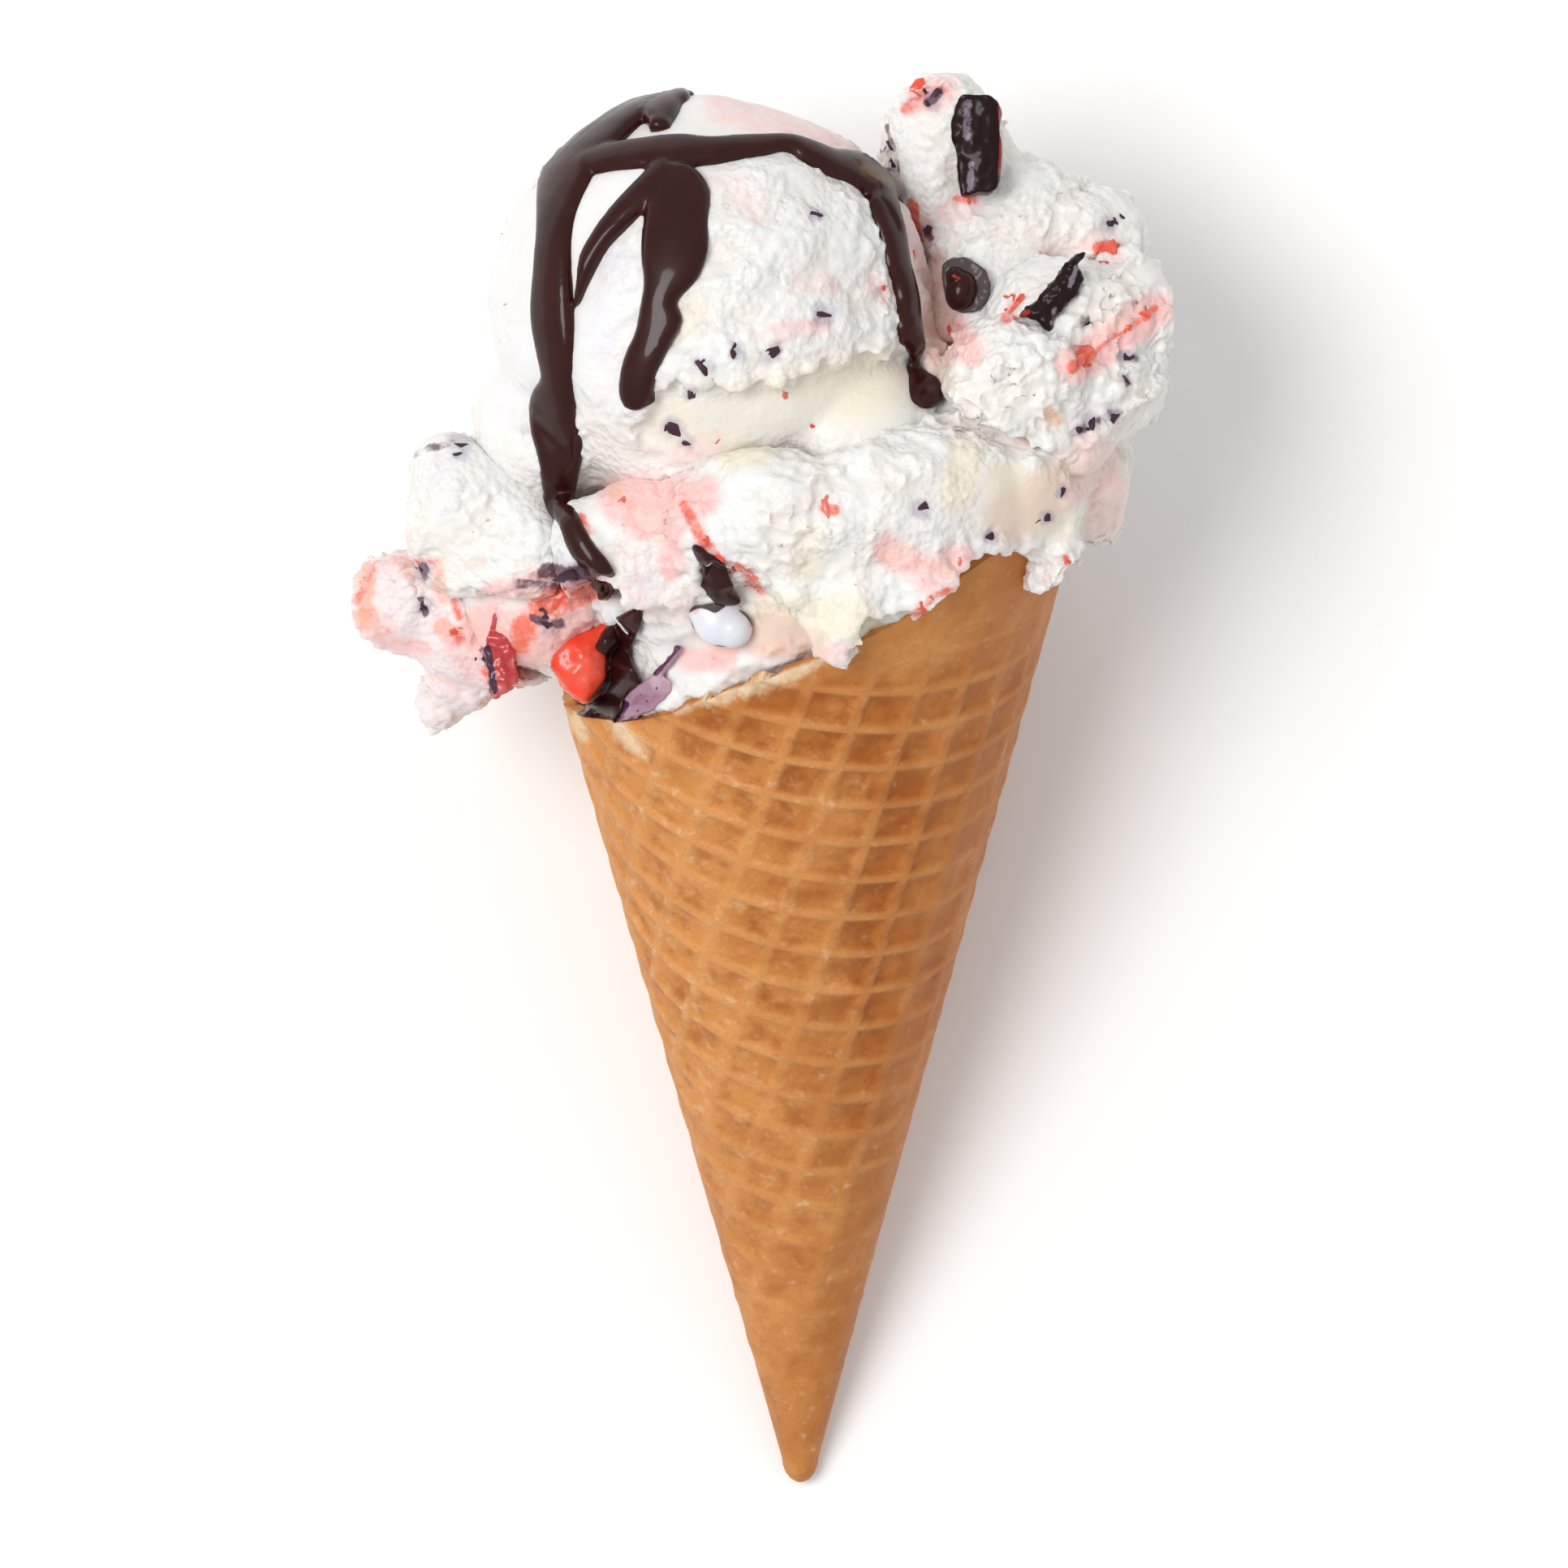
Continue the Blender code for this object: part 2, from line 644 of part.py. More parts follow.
def strand(name, route, tree, neighbours):
    """One run of drizzle: a flattened tube half sunk in the surface, with round ends. It stops short
    of the bodies beside the one that it lies on."""
    points = []
    for across, down, width in route:
        place, _ = seat(tree, across, down)
        if place:
            points.append((place, width * mm))
    points = [(place, width) for place, width in smooth_route(points, drizzle_spacing)
              if all(other.find_nearest(place)[3] > width / 2 + drizzle_thickness for other in neighbours)]
    bm = bmesh.new()
    sides = drizzle_sides
    rings = []
    for n, (place, width) in enumerate(points):
        near, normal, _, _ = tree.find_nearest(place)
        before, after = points[max(n - 1, 0)][0], points[min(n + 1, len(points) - 1)][0]
        along = (after - before).normalized()
        side = along.cross(normal).normalized()
        up = side.cross(along).normalized()
        level = []
        for k in range(sides):
            turn = 2 * pi * (k + 0.5) / sides
            reach = side * cos(turn) * width / 2 + up * sin(turn) * drizzle_thickness
            level.append(bm.verts.new(near + reach))
        rings.append(level)
    for first, second in zip(rings, rings[1:]):
        for k in range(sides):
            bm.faces.new((first[k - 1], first[k], second[k], second[k - 1]))
    for level, inward in ((rings[0], 1), (rings[-1], -2)):
        centre = sum((v.co for v in level), Vector()) / sides
        other = rings[inward]
        away = (centre - sum((v.co for v in other), Vector()) / sides).normalized()
        point = bm.verts.new(centre + away * drizzle_end)
        for k in range(sides):
            bm.faces.new((level[k - 1], level[k], point))
    bmesh.ops.recalc_face_normals(bm, faces=bm.faces)
    return make_object(name, bm)


def fuse(body, pieces):
    """Joins the pieces to the body, by one union on their collection."""
    group = bpy.data.collections.new(body.name + "_additions")
    for piece in pieces:
        group.objects.link(piece)
    joining = body.modifiers.new("fuse", "BOOLEAN")
    joining.operation = "UNION"
    joining.solver = "EXACT"
    joining.operand_type = "COLLECTION"
    joining.collection = group
    joining.use_self = True
    apply_modifiers(body)
    for piece in pieces:
        discard(piece)
    bpy.data.collections.remove(group)
    bm = bmesh.new()
    bm.from_mesh(body.data)
    bmesh.ops.remove_doubles(bm, verts=bm.verts, dist=fused_merge)
    bmesh.ops.dissolve_degenerate(bm, edges=bm.edges, dist=merge)
    bmesh.ops.triangulate(bm, faces=bm.faces)
    bm.to_mesh(body.data)
    bm.free()
    largest_piece(body)


def topping(name, sizes, bodies, number, material):
    """A faceted nugget on the surface under its pixel, trimmed clear of what it lies on."""
    across, down, half_across, half_up, half_deep, turn = sizes
    seats = [seat(surface_of(body), across, down)[0] for body in bodies]
    place = min((p for p in seats if p), key=lambda p: p.y)
    view = Matrix.Rotation(picture_rise, 4, "X") @ Matrix.Rotation(radians(turn), 4, "Y")
    bm = bmesh.new()
    stretch = Matrix.Diagonal((half_across * mm, half_deep * mm, half_up * mm, 1))
    bmesh.ops.create_icosphere(bm, subdivisions=topping_fineness, radius=1, matrix=stretch)
    for vertex in bm.verts:
        place_in_noise = vertex.co / topping_lumps + Vector((topping_step * number, 0, 0))
        vertex.co *= 1 + topping_uneven * noise.noise(place_in_noise)
    towards = Vector((0, -cos(picture_rise), sin(picture_rise)))
    centre = place + towards * (half_deep * mm * (1 - 2 * topping_sink))
    bmesh.ops.transform(bm, matrix=Matrix.Translation(centre) @ view, verts=bm.verts)
    piece = make_object(name, bm)
    rooms = [inflated(body, topping_gap) for body in bodies]
    cut(piece, rooms)
    for room in rooms:
        discard(room)
    bm = bmesh.new()
    bm.from_mesh(piece.data)
    bmesh.ops.remove_doubles(bm, verts=bm.verts, dist=topping_merge)
    bmesh.ops.dissolve_degenerate(bm, edges=bm.edges, dist=merge)
    bmesh.ops.triangulate(bm, faces=bm.faces)
    bm.to_mesh(piece.data)
    bm.free()
    largest_piece(piece)
    piece.data.materials.clear()
    piece.data.materials.append(material)
    return piece


# Assembly

def lay_down(things):
    """Lays the upright model on the ground, with the middle of its box over the origin."""
    rest = bpy.data.objects.new("lying_pose", None)
    bpy.context.scene.collection.objects.link(rest)
    rest.rotation_euler = (incline - pi / 2, 0, 0)
    turn = rest.rotation_euler.to_matrix()
    points = [turn @ v.co for thing in things for v in thing.data.vertices]
    low = Vector([min(p[k] for p in points) for k in range(3)])
    high = Vector([max(p[k] for p in points) for k in range(3)])
    rest.location = (-(low.x + high.x) / 2, -(low.y + high.y) / 2, -low.z)
    for thing in things:
        thing.parent = rest


def main():
    clear_scene()
    wafer, cream, berry, chocolate, fruit = [finish(name) for name in finishes]

    cone = build_cone(wafer)
    room = wafer_room()

    # The ground touches the round tip, less its small flat
    up = Vector((0, -cos(incline), sin(incline)))
    drop = -(min(v.co.dot(up) for v in cone.data.vertices) + rest_flat)

    heap = soft_body("ice_cream_heap", heap_mesh(), [], [room], heap_detail, cream)
    scoop = soft_body("ice_cream_scoop", lumps_mesh(scoop_lumps), [heap], [], scoop_detail, cream)
    ruffle = soft_body("ice_cream_ruffle", lumps_mesh(ruffle_lumps), [heap, scoop], [], ruffle_detail, cream)
    peak = soft_body("ice_cream_peak", lumps_mesh(peak_lumps), [heap, scoop, ruffle], [], peak_detail, cream)
    left = soft_body("left_lobe", lumps_mesh(left_lobe_lumps), [heap, scoop], [room], left_lobe_detail, cream)
    ripple = soft_body("berry_ripple_lobe", lumps_mesh(ripple_lobe_lumps), [heap, scoop, left], [room],
                       ripple_lobe_detail, berry)
    discard(room)
    ground_flat(heap, drop)
    ground_flat(cone, drop)

    bodies = [heap, scoop, ruffle, peak, left, ripple]
    surfaces = {body: surface_of(body) for body in bodies}

    def beside(body):
        return [surface for other, surface in surfaces.items() if other is not body]

    fuse(scoop, [strand("drizzle_" + name, route, surfaces[scoop], beside(scoop))
                 for name, route in drizzle_routes.items()])
    fuse(heap, [strand("drizzle_tail", drip_route, surfaces[heap], beside(heap))])
    toppings = []
    for pieces, material in ((chunks, chocolate), (fruit_pieces, fruit)):
        for name, sizes in pieces.items():
            toppings.append(topping(name, sizes, bodies + toppings + [cone], len(toppings), material))
    lay_down([cone] + bodies + toppings)


main()
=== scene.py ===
# Looks of the ice cream cone. It lies on its back on a pale floor, and the camera looks down on it.
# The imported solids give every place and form, and each piece made here stands for one of them.

import random
from math import atan2, cos, degrees, hypot, pi, radians, sin, tan

import bmesh
import bpy
import numpy as np
from mathutils import Matrix, Vector, noise
from mathutils.bvhtree import BVHTree


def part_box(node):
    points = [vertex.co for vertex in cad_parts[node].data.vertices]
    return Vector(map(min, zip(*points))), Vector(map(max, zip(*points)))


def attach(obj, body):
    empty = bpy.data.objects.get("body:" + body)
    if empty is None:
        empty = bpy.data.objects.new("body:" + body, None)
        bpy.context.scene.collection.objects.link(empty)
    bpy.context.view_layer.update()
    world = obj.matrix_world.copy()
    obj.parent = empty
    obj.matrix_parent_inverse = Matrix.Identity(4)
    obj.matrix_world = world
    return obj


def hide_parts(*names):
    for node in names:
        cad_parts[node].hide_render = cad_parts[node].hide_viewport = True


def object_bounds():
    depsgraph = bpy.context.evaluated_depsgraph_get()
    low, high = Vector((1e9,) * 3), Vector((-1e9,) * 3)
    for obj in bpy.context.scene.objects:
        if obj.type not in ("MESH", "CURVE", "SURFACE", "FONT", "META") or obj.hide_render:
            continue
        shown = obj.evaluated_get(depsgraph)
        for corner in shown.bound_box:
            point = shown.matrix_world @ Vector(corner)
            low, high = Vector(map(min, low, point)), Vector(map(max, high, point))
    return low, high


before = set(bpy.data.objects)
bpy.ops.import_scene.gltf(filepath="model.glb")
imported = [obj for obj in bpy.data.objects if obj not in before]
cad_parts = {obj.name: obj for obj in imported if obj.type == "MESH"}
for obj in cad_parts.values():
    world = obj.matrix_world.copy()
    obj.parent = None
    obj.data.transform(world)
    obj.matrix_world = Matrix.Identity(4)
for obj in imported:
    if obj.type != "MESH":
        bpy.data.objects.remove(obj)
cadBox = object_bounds()
print("loaded", len(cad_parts), "solids")

mm = 0.001
touching = 0.01 * mm    # corners nearer to each other than this become one
margin = 0.02 * mm      # the ice cream stays this far inside the box of the solids

# The cone's own frame: X to the right, Y to the back, Z up its axis from where its sides meet
pose = {
    "lean": radians(-73),       # lays the axis down
    # Lowest corner of the laid wafer's box, from that point
    "coneCorner": (-31.882 * mm, 6.160 * mm, 0.502 * mm),
}
lieDown = Matrix.Rotation(pose["lean"], 4, "X")
lieDown.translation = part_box("waffle_cone")[0] - Vector(pose["coneCorner"])

# The photo's view, in the cone's frame, and in pixels of the 1932 wide picture
photo = {
    "width": 1932,
    "middle": (980.5, 966),     # pixel of the aim point
    "scale": 9.0,               # pixels to a mm there
    "aimHeight": 112.12 * mm,
    "rise": radians(22),
    "roll": radians(-0.37),
    "distance": 1500 * mm,
    "sensor": 36,               # mm
    "farthest": 10,             # m
}


def makeCamera():
    bpy.ops.object.camera_add()
    camera = bpy.context.object
    camera.name = "photo_camera"
    back = Vector((0, -cos(photo["rise"]), sin(photo["rise"])))
    up = Vector((0, sin(photo["rise"]), cos(photo["rise"])))
    axes = Matrix((Vector((1, 0, 0)), up, back)).transposed().to_4x4()
    place = Matrix.Translation(Vector((0, 0, photo["aimHeight"])) + back * photo["distance"])
    camera.matrix_world = lieDown @ place @ axes @ Matrix.Rotation(photo["roll"], 4, "Z")
    camera.data.sensor_width = photo["sensor"]
    camera.data.lens = photo["sensor"] * (photo["scale"] / mm) * photo["distance"] / photo["width"]
    camera.data.shift_x = -(photo["middle"][0] - photo["width"] / 2) / photo["width"]
    camera.data.clip_end = photo["farthest"]
    bpy.context.scene.camera = camera
    bpy.context.view_layer.update()
    return camera


camera = makeCamera()
toCamera = camera.matrix_world.inverted()
facing = camera.matrix_world.to_3x3().col[2].copy()     # towards the camera
pixelsPerRadian = photo["scale"] / mm * photo["distance"]
print("camera ready")


def pixelsOf(points):
    # Where points of the model show in the photo, as pixels across and down
    turned = points @ np.array(toCamera.to_3x3()).T + np.array(toCamera.translation)
    across = photo["middle"][0] - pixelsPerRadian * turned[:, 0] / turned[:, 2]
    down = photo["middle"][1] + pixelsPerRadian * turned[:, 1] / turned[:, 2]
    return np.stack((across, down), 1)


def sightLine(across, down):
    right = (across - photo["middle"][0]) / pixelsPerRadian
    up = (photo["middle"][1] - down) / pixelsPerRadian
    towards = camera.matrix_world.to_3x3() @ Vector((right, up, -1))
    return camera.matrix_world.translation, towards.normalized()


# Everyday steps

def pick(*objects):
    bpy.ops.object.select_all(action="DESELECT")
    for obj in objects:
        obj.select_set(True)
    bpy.context.view_layer.objects.active = objects[0]


def applyModifier(obj, kind, **settings):
    pick(obj)
    modifier = obj.modifiers.new(kind.lower(), kind)
    for name, value in settings.items():
        setattr(modifier, name, value)
    bpy.ops.object.modifier_apply(modifier=modifier.name)


def joinAll(objects, name):
    pick(*objects)
    if len(objects) > 1:
        bpy.ops.object.join()
    objects[0].name = name
    return objects[0]


def copyOfNode(node, name):
    # A merged copy of a solid, which is loose triangles as it comes
    obj = bpy.data.objects.new(name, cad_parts[node].data.copy())
    bpy.context.scene.collection.objects.link(obj)
    obj.data.materials.clear()
    pick(obj)
    bpy.ops.object.mode_set(mode="EDIT")
    bpy.ops.mesh.select_all(action="SELECT")
    bpy.ops.mesh.remove_doubles(threshold=touching)
    bpy.ops.mesh.customdata_custom_splitnormals_clear()
    bpy.ops.object.mode_set(mode="OBJECT")
    return obj


def addLump(across, up, front, halfAcross, halfUp, halfFront, turn=0):
    # A rounded lump, placed in the cone's frame with sizes in mm
    bpy.ops.mesh.primitive_ico_sphere_add(subdivisions=4, radius=1)
    obj = bpy.context.object
    place = Matrix.Translation(Vector((across, -front, up)) * mm) @ Matrix.Rotation(radians(turn), 4, "Y")
    obj.matrix_world = lieDown @ place @ Matrix.Diagonal((halfAcross * mm, halfFront * mm, halfUp * mm, 1))
    pick(obj)
    bpy.ops.object.transform_apply(location=True, rotation=True, scale=True)
    return obj


def pointsOf(obj):
    flat = np.empty(len(obj.data.vertices) * 3, np.float32)
    obj.data.vertices.foreach_get("co", flat)
    return flat.reshape(-1, 3).astype(float)


def normalsOf(obj):
    flat = np.empty(len(obj.data.vertices) * 3, np.float32)
    obj.data.vertex_normals.foreach_get("vector", flat)
    return flat.reshape(-1, 3).astype(float)


def movePoints(obj, points):
    obj.data.vertices.foreach_set("co", points.astype(np.float32).ravel())
    obj.data.update()


def noiseAt(points, size, shift=0.0):
    return np.array([noise.noise(Vector(p)) for p in points / size + shift])


def ease(t):
    t = np.clip(t, 0, 1)
    return t * t * (3 - 2 * t)


def within(distance, reach, edge=1.25):
    # 1 near by and 0 past the reach, with a soft edge between
    return ease(edge - distance / reach)


def surfaceOf(obj):
    mesh = bmesh.new()
    mesh.from_mesh(obj.data)
    tree = BVHTree.FromBMesh(mesh)
    mesh.free()
    return tree


def seat(trees, across, down):
    # The nearest place to the camera under a pixel, and the surface's direction there
    start, towards = sightLine(across, down)
    hits = [tree.ray_cast(start, towards) for tree in trees]
    hits = [hit for hit in hits if hit[0]]
    if not hits:
        return None, None
    place, normal, _, _ = min(hits, key=lambda hit: hit[3])
    return place, normal


def distanceTo(pixels, route):
    # Distance in pixels from each point to a line of pixels
    route = [np.array(p[:2], float) for p in route]
    if len(route) == 1:
        return np.hypot(*(pixels - route[0]).T)
    best = np.full(len(pixels), np.inf)
    for a, b in zip(route, route[1:]):
        run = b - a
        share = np.clip(((pixels - a) @ run) / (run @ run), 0, 1)
        best = np.minimum(best, np.hypot(*(pixels - a - share[:, None] * run).T))
    return best


def insideOf(pixels, outline):
    # Which points lie inside a closed line of pixels
    inside = np.zeros(len(pixels), bool)
    for (x0, y0), (x1, y1) in zip(outline, outline[1:] + outline[:1]):
        if y0 == y1:
            continue
        crosses = (pixels[:, 1] > min(y0, y1)) & (pixels[:, 1] <= max(y0, y1))
        inside ^= crosses & (pixels[:, 0] < x0 + (pixels[:, 1] - y0) * (x1 - x0) / (y1 - y0))
    return inside


def underLine(pixels, line, soft, ragged=None):
    # 1 below a line of pixels and 0 above it, over a soft width, with the line frayed by the ragged shifts
    if ragged is not None:
        pixels = pixels + ragged
    floor = photo["width"]
    inside = insideOf(pixels, line + [(line[-1][0], floor), (line[0][0], floor)])
    return ease(distanceTo(pixels, line) / soft) * inside


def frayAt(points, frays):
    # Shifts in pixels that make a line ragged: noise of each size in mm, and how far it reaches in pixels
    shifts = np.zeros((len(points), 2))
    for size, far in frays:
        shifts += np.stack((noiseAt(points, size * mm, 3), noiseAt(points, size * mm, 8)), 1) * far
    return shifts


def setAttribute(obj, name, values):
    layer = obj.data.attributes.get(name) or obj.data.attributes.new(name, "FLOAT", "POINT")
    layer.data.foreach_set("value", np.asarray(values, np.float32))


def done(obj, nodes, finish):
    # Gives a finished piece its material, hangs it under the root, and hides the solids that it stands for
    obj.data.materials.clear()
    obj.data.materials.append(finish)
    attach(obj, "root")
    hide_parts(*nodes)
    triangles = sum(len(face.vertices) - 2 for face in obj.data.polygons)
    print("made", obj.name, "with", triangles, "triangles")
    return obj


# Materials

class Wire:
    # The output of a shader node, so that sums on values can be written as Python
    def __init__(self, tree, socket):
        self.tree = tree
        self.socket = socket

    def work(self, operation, *values):
        node = self.tree.nodes.new("ShaderNodeMath")
        node.operation = operation
        for place, value in zip(node.inputs, values):
            if isinstance(value, Wire):
                self.tree.links.new(value.socket, place)
            else:
                place.default_value = value
        return Wire(self.tree, node.outputs[0])

    def __add__(self, other):
        return self.work("ADD", self, other)

    __radd__ = __add__

    def __mul__(self, other):
        return self.work("MULTIPLY", self, other)

    __rmul__ = __mul__

    def __sub__(self, other):
        return self.work("SUBTRACT", self, other)

    def __rsub__(self, other):
        return self.work("SUBTRACT", other, self)


class Finish:
    def __init__(self, name):
        self.material = bpy.data.materials.new(name)
        self.material.use_nodes = True
        self.tree = self.material.node_tree
        self.shader = self.tree.nodes["Principled BSDF"]

    def node(self, kind, settings=None, sockets=None, output=0):
        # Adds a node with its settings, fills its sockets with values or wires, and returns one output
        node = self.tree.nodes.new(kind)
        for name, value in (settings or {}).items():
            setattr(node, name, value)
        for key, value in (sockets or {}).items():
            self.fill(node.inputs[key], value)
        return Wire(self.tree, node.outputs[output])

    def fill(self, place, value):
        if isinstance(value, Wire):
            self.tree.links.new(value.socket, place)
        elif isinstance(value, tuple) and place.type == "RGBA":
            place.default_value = (*value, 1)
        else:
            place.default_value = value

    def set(self, **sockets):
        # Sockets of the shader, written with underscores for spaces
        for name, value in sockets.items():
            self.fill(self.shader.inputs[name.replace("_", " ")], value)
        return self.material

    def where(self):
        return self.node("ShaderNodeTexCoord", output="Object")

    def noise(self, size, detail=2, rough=0.5, shift=0.0):
        # Noise from 0 to 1, with features of a size in metres
        shifted = {"Vector": self.where(), "Location": (shift, shift, shift)}
        place = self.node("ShaderNodeMapping", {}, shifted)
        sockets = {"Vector": place, "Scale": 1 / size, "Detail": detail, "Roughness": rough}
        return self.node("ShaderNodeTexNoise", {}, sockets, "Fac")

    def painted(self, name):
        return self.node("ShaderNodeAttribute", {"attribute_name": name}, {}, "Fac")

    def mix(self, share, first, second):
        factor, firstColour, secondColour, mixed = 0, 6, 7, 2      # places of the node's colour sockets
        sockets = {factor: share, firstColour: first, secondColour: second}
        return self.node("ShaderNodeMix", {"data_type": "RGBA"}, sockets, mixed)

    def step(self, value, low, high):
        # 0 below low, 1 above high, and smooth between
        return self.node("ShaderNodeMapRange", {"interpolation_type": "SMOOTHSTEP"},
                         {"Value": value, "From Min": low, "From Max": high})

    def bump(self, height, depth, strength=1.0, under=None):
        sockets = {"Height": height, "Distance": depth, "Strength": strength}
        if under:
            sockets["Normal"] = under
        return self.node("ShaderNodeBump", {}, sockets)


wafer = {
    "ridge": (0.69, 0.31, 0.095),
    # darker than the ridges: partly the pockets' baked colour, partly painted shade in the recesses
    "pocket": (0.65, 0.272, 0.070),
    # a dark brown for the toasted patches and the grain, also used for the painted shade at the right side
    "toastAndShade": (0.40, 0.105, 0.010),
    # a near black brown for burnt spots, which gather in the pockets as painted shade
    "burntAndShade": (0.30, 0.075, 0.010),
    # pale dough, for the pale rim and the pores, and for the painted highlight spots on the ridges
    "doughAndHighlight": (0.86, 0.69, 0.46),
    "clouds": 14 * mm,          # sizes of the colour patches: what the oven left, painted shade in the pockets and painted highlight spots
    "blotches": 5 * mm,
    "burnsAndShade": 4.5 * mm,
    # painted highlight spots
    "highlightSpots": 2.2 * mm,
    "grain": 0.55 * mm,
    "pores": 1.6 * mm,
    "paleEdge": 2.4 * mm,
    "shares": {"burnsAndShade": 0.62, "highlightSpots": 0.42, "grain": 0.22, "pores": 0.12, "pale": 0.85},
    "roughness": 0.5,
    "coat": (0.05, 0.4),        # its weight and roughness
}


def waferFinish():
    made = Finish("baked_wafer")
    shares = wafer["shares"]
    depth = made.painted("pocket")
    # the toast attribute is painted shade at the right side, and browner colour along the rim and low down
    brownedAndShaded = made.painted("toastAndShade")
    clouds = made.noise(wafer["clouds"], 3, 0.6)
    blotches = made.noise(wafer["blotches"], 4, 0.7, 6)
    grain = made.noise(wafer["grain"], 2, 0.6)
    pores = made.noise(wafer["pores"], 2, 0.5, 3)
    # darker in the pockets: partly baked colour, partly painted shade in the recesses
    colour = made.mix(made.step(depth, 0.15, 0.9), wafer["ridge"], wafer["pocket"])
    # toasted patches: random, and more on the painted shade at the right and in the pockets
    heatAndShade = clouds * 0.6 + blotches * 0.55 + depth * (brownedAndShaded * 0.1 + 0.06) + brownedAndShaded * 0.3
    toastedAndShaded = made.step(heatAndShade, 0.52, 0.98) * (depth * 0.2 + brownedAndShaded * 0.12 + 0.52)
    colour = made.mix(toastedAndShaded, colour, wafer["toastAndShade"])
    # painted highlight: pale spots on the ridges, fewer in the pockets and on the painted shade
    highlightSpots = made.noise(wafer["highlightSpots"], 3, 0.6, 8) + brownedAndShaded * -0.1
    highlighted = made.step(highlightSpots, 0.53, 0.74) * (1 - depth * 0.55) * shares["highlightSpots"]
    colour = made.mix(highlighted, colour, wafer["doughAndHighlight"])
    # burnt spots, weighted into the pockets, where they are partly painted shade
    burnsAndShade = made.noise(wafer["burnsAndShade"], 3, 0.6, 12) + brownedAndShaded * 0.1
    colour = made.mix(made.step(burnsAndShade, 0.46, 0.72) * (depth * shares["burnsAndShade"] + 0.1), colour, wafer["burntAndShade"])
    colour = made.mix(made.step(grain, 0.35, 0.8) * shares["grain"], colour, wafer["toastAndShade"])
    colour = made.mix(made.step(pores, 0.62, 0.78) * shares["pores"], colour, wafer["doughAndHighlight"])
    pale = made.painted("pale") + made.noise(wafer["paleEdge"], 4, 0.7, 5) * 1.6 - 1.0
    colour = made.mix(made.step(pale, 0.0, 1.0) * shares["pale"], colour, wafer["doughAndHighlight"])
    rough = wafer["roughness"] + made.noise(3 * mm, 2) * 0.15
    relief = made.bump(grain, 0.12 * mm, 0.6, made.bump(blotches, 0.5 * mm, 0.5))
    coat, coatRoughness = wafer["coat"]
    return made.set(Base_Color=colour, Roughness=rough, Normal=relief, Specular_IOR_Level=0.22,
                    Coat_Weight=coat, Coat_Roughness=coatRoughness)


cream = {
    "white": (0.845, 0.84, 0.82),
    "butter": (0.86, 0.79, 0.62),
    # painted shade: a cool lilac tint for parts in shade
    "coolShade": (0.73, 0.71, 0.83),
    "rosy": (0.86, 0.76, 0.76),
    "salmon": (0.88, 0.42, 0.28),
    # painted shade: the warm darker colour of the ice cream's hollows
    "hollow": (0.90, 0.77, 0.68),
    "pink": (0.93, 0.53, 0.50),
    "red": (0.86, 0.125, 0.045),
    "wine": (0.52, 0.035, 0.04),
    "juice": (0.10, 0.03, 0.06),
    # painted shade: a warm darker tint for faces and hollows in shade
    "warmShade": (0.80, 0.62, 0.50),
    "smudge": (0.42, 0.37, 0.47),
    "frost": 0.7 * mm,          # sizes of the grain, from fine to wide
    "grains": 0.9 * mm,
    "crumb": 2.2 * mm,
    "fraying": 2.6 * mm,
    "patches": 7 * mm,
    "clouds": 16 * mm,
    "stainsAndShade": [     # painted mark (stains, and painted shade in the warm and cool ones), how ragged, where it starts and is full, its share and its colour
        ("warmShade", 0.4, 0.1, 1.1, 0.8, "warmShade"), ("coolShade", 0.4, 0.2, 0.9, 1.0, "coolShade"),
        ("pink", 0.9, 0.15, 1.0, 0.85, "pink"), ("salmon", 1.1, 0.25, 0.95, 0.8, "salmon"),
        ("red", 0.8, 0.1, 0.8, 0.6, "pink"), ("red", 1.6, 0.5, 1.0, 0.85, "red"),
        ("smudge", 1.5, 0.25, 0.95, 0.6, "smudge"), ("juice", 1.4, 0.5, 0.85, 0.85, "juice"),
    ],
    "roughness": 0.38,
    "coat": (0.12, 0.3),
    "glow": 0.4,                # share of the light that wanders inside, how far by colour, and its size
    "glowReach": (1.0, 0.7, 0.55),
    "glowSize": 1.4 * mm,
}


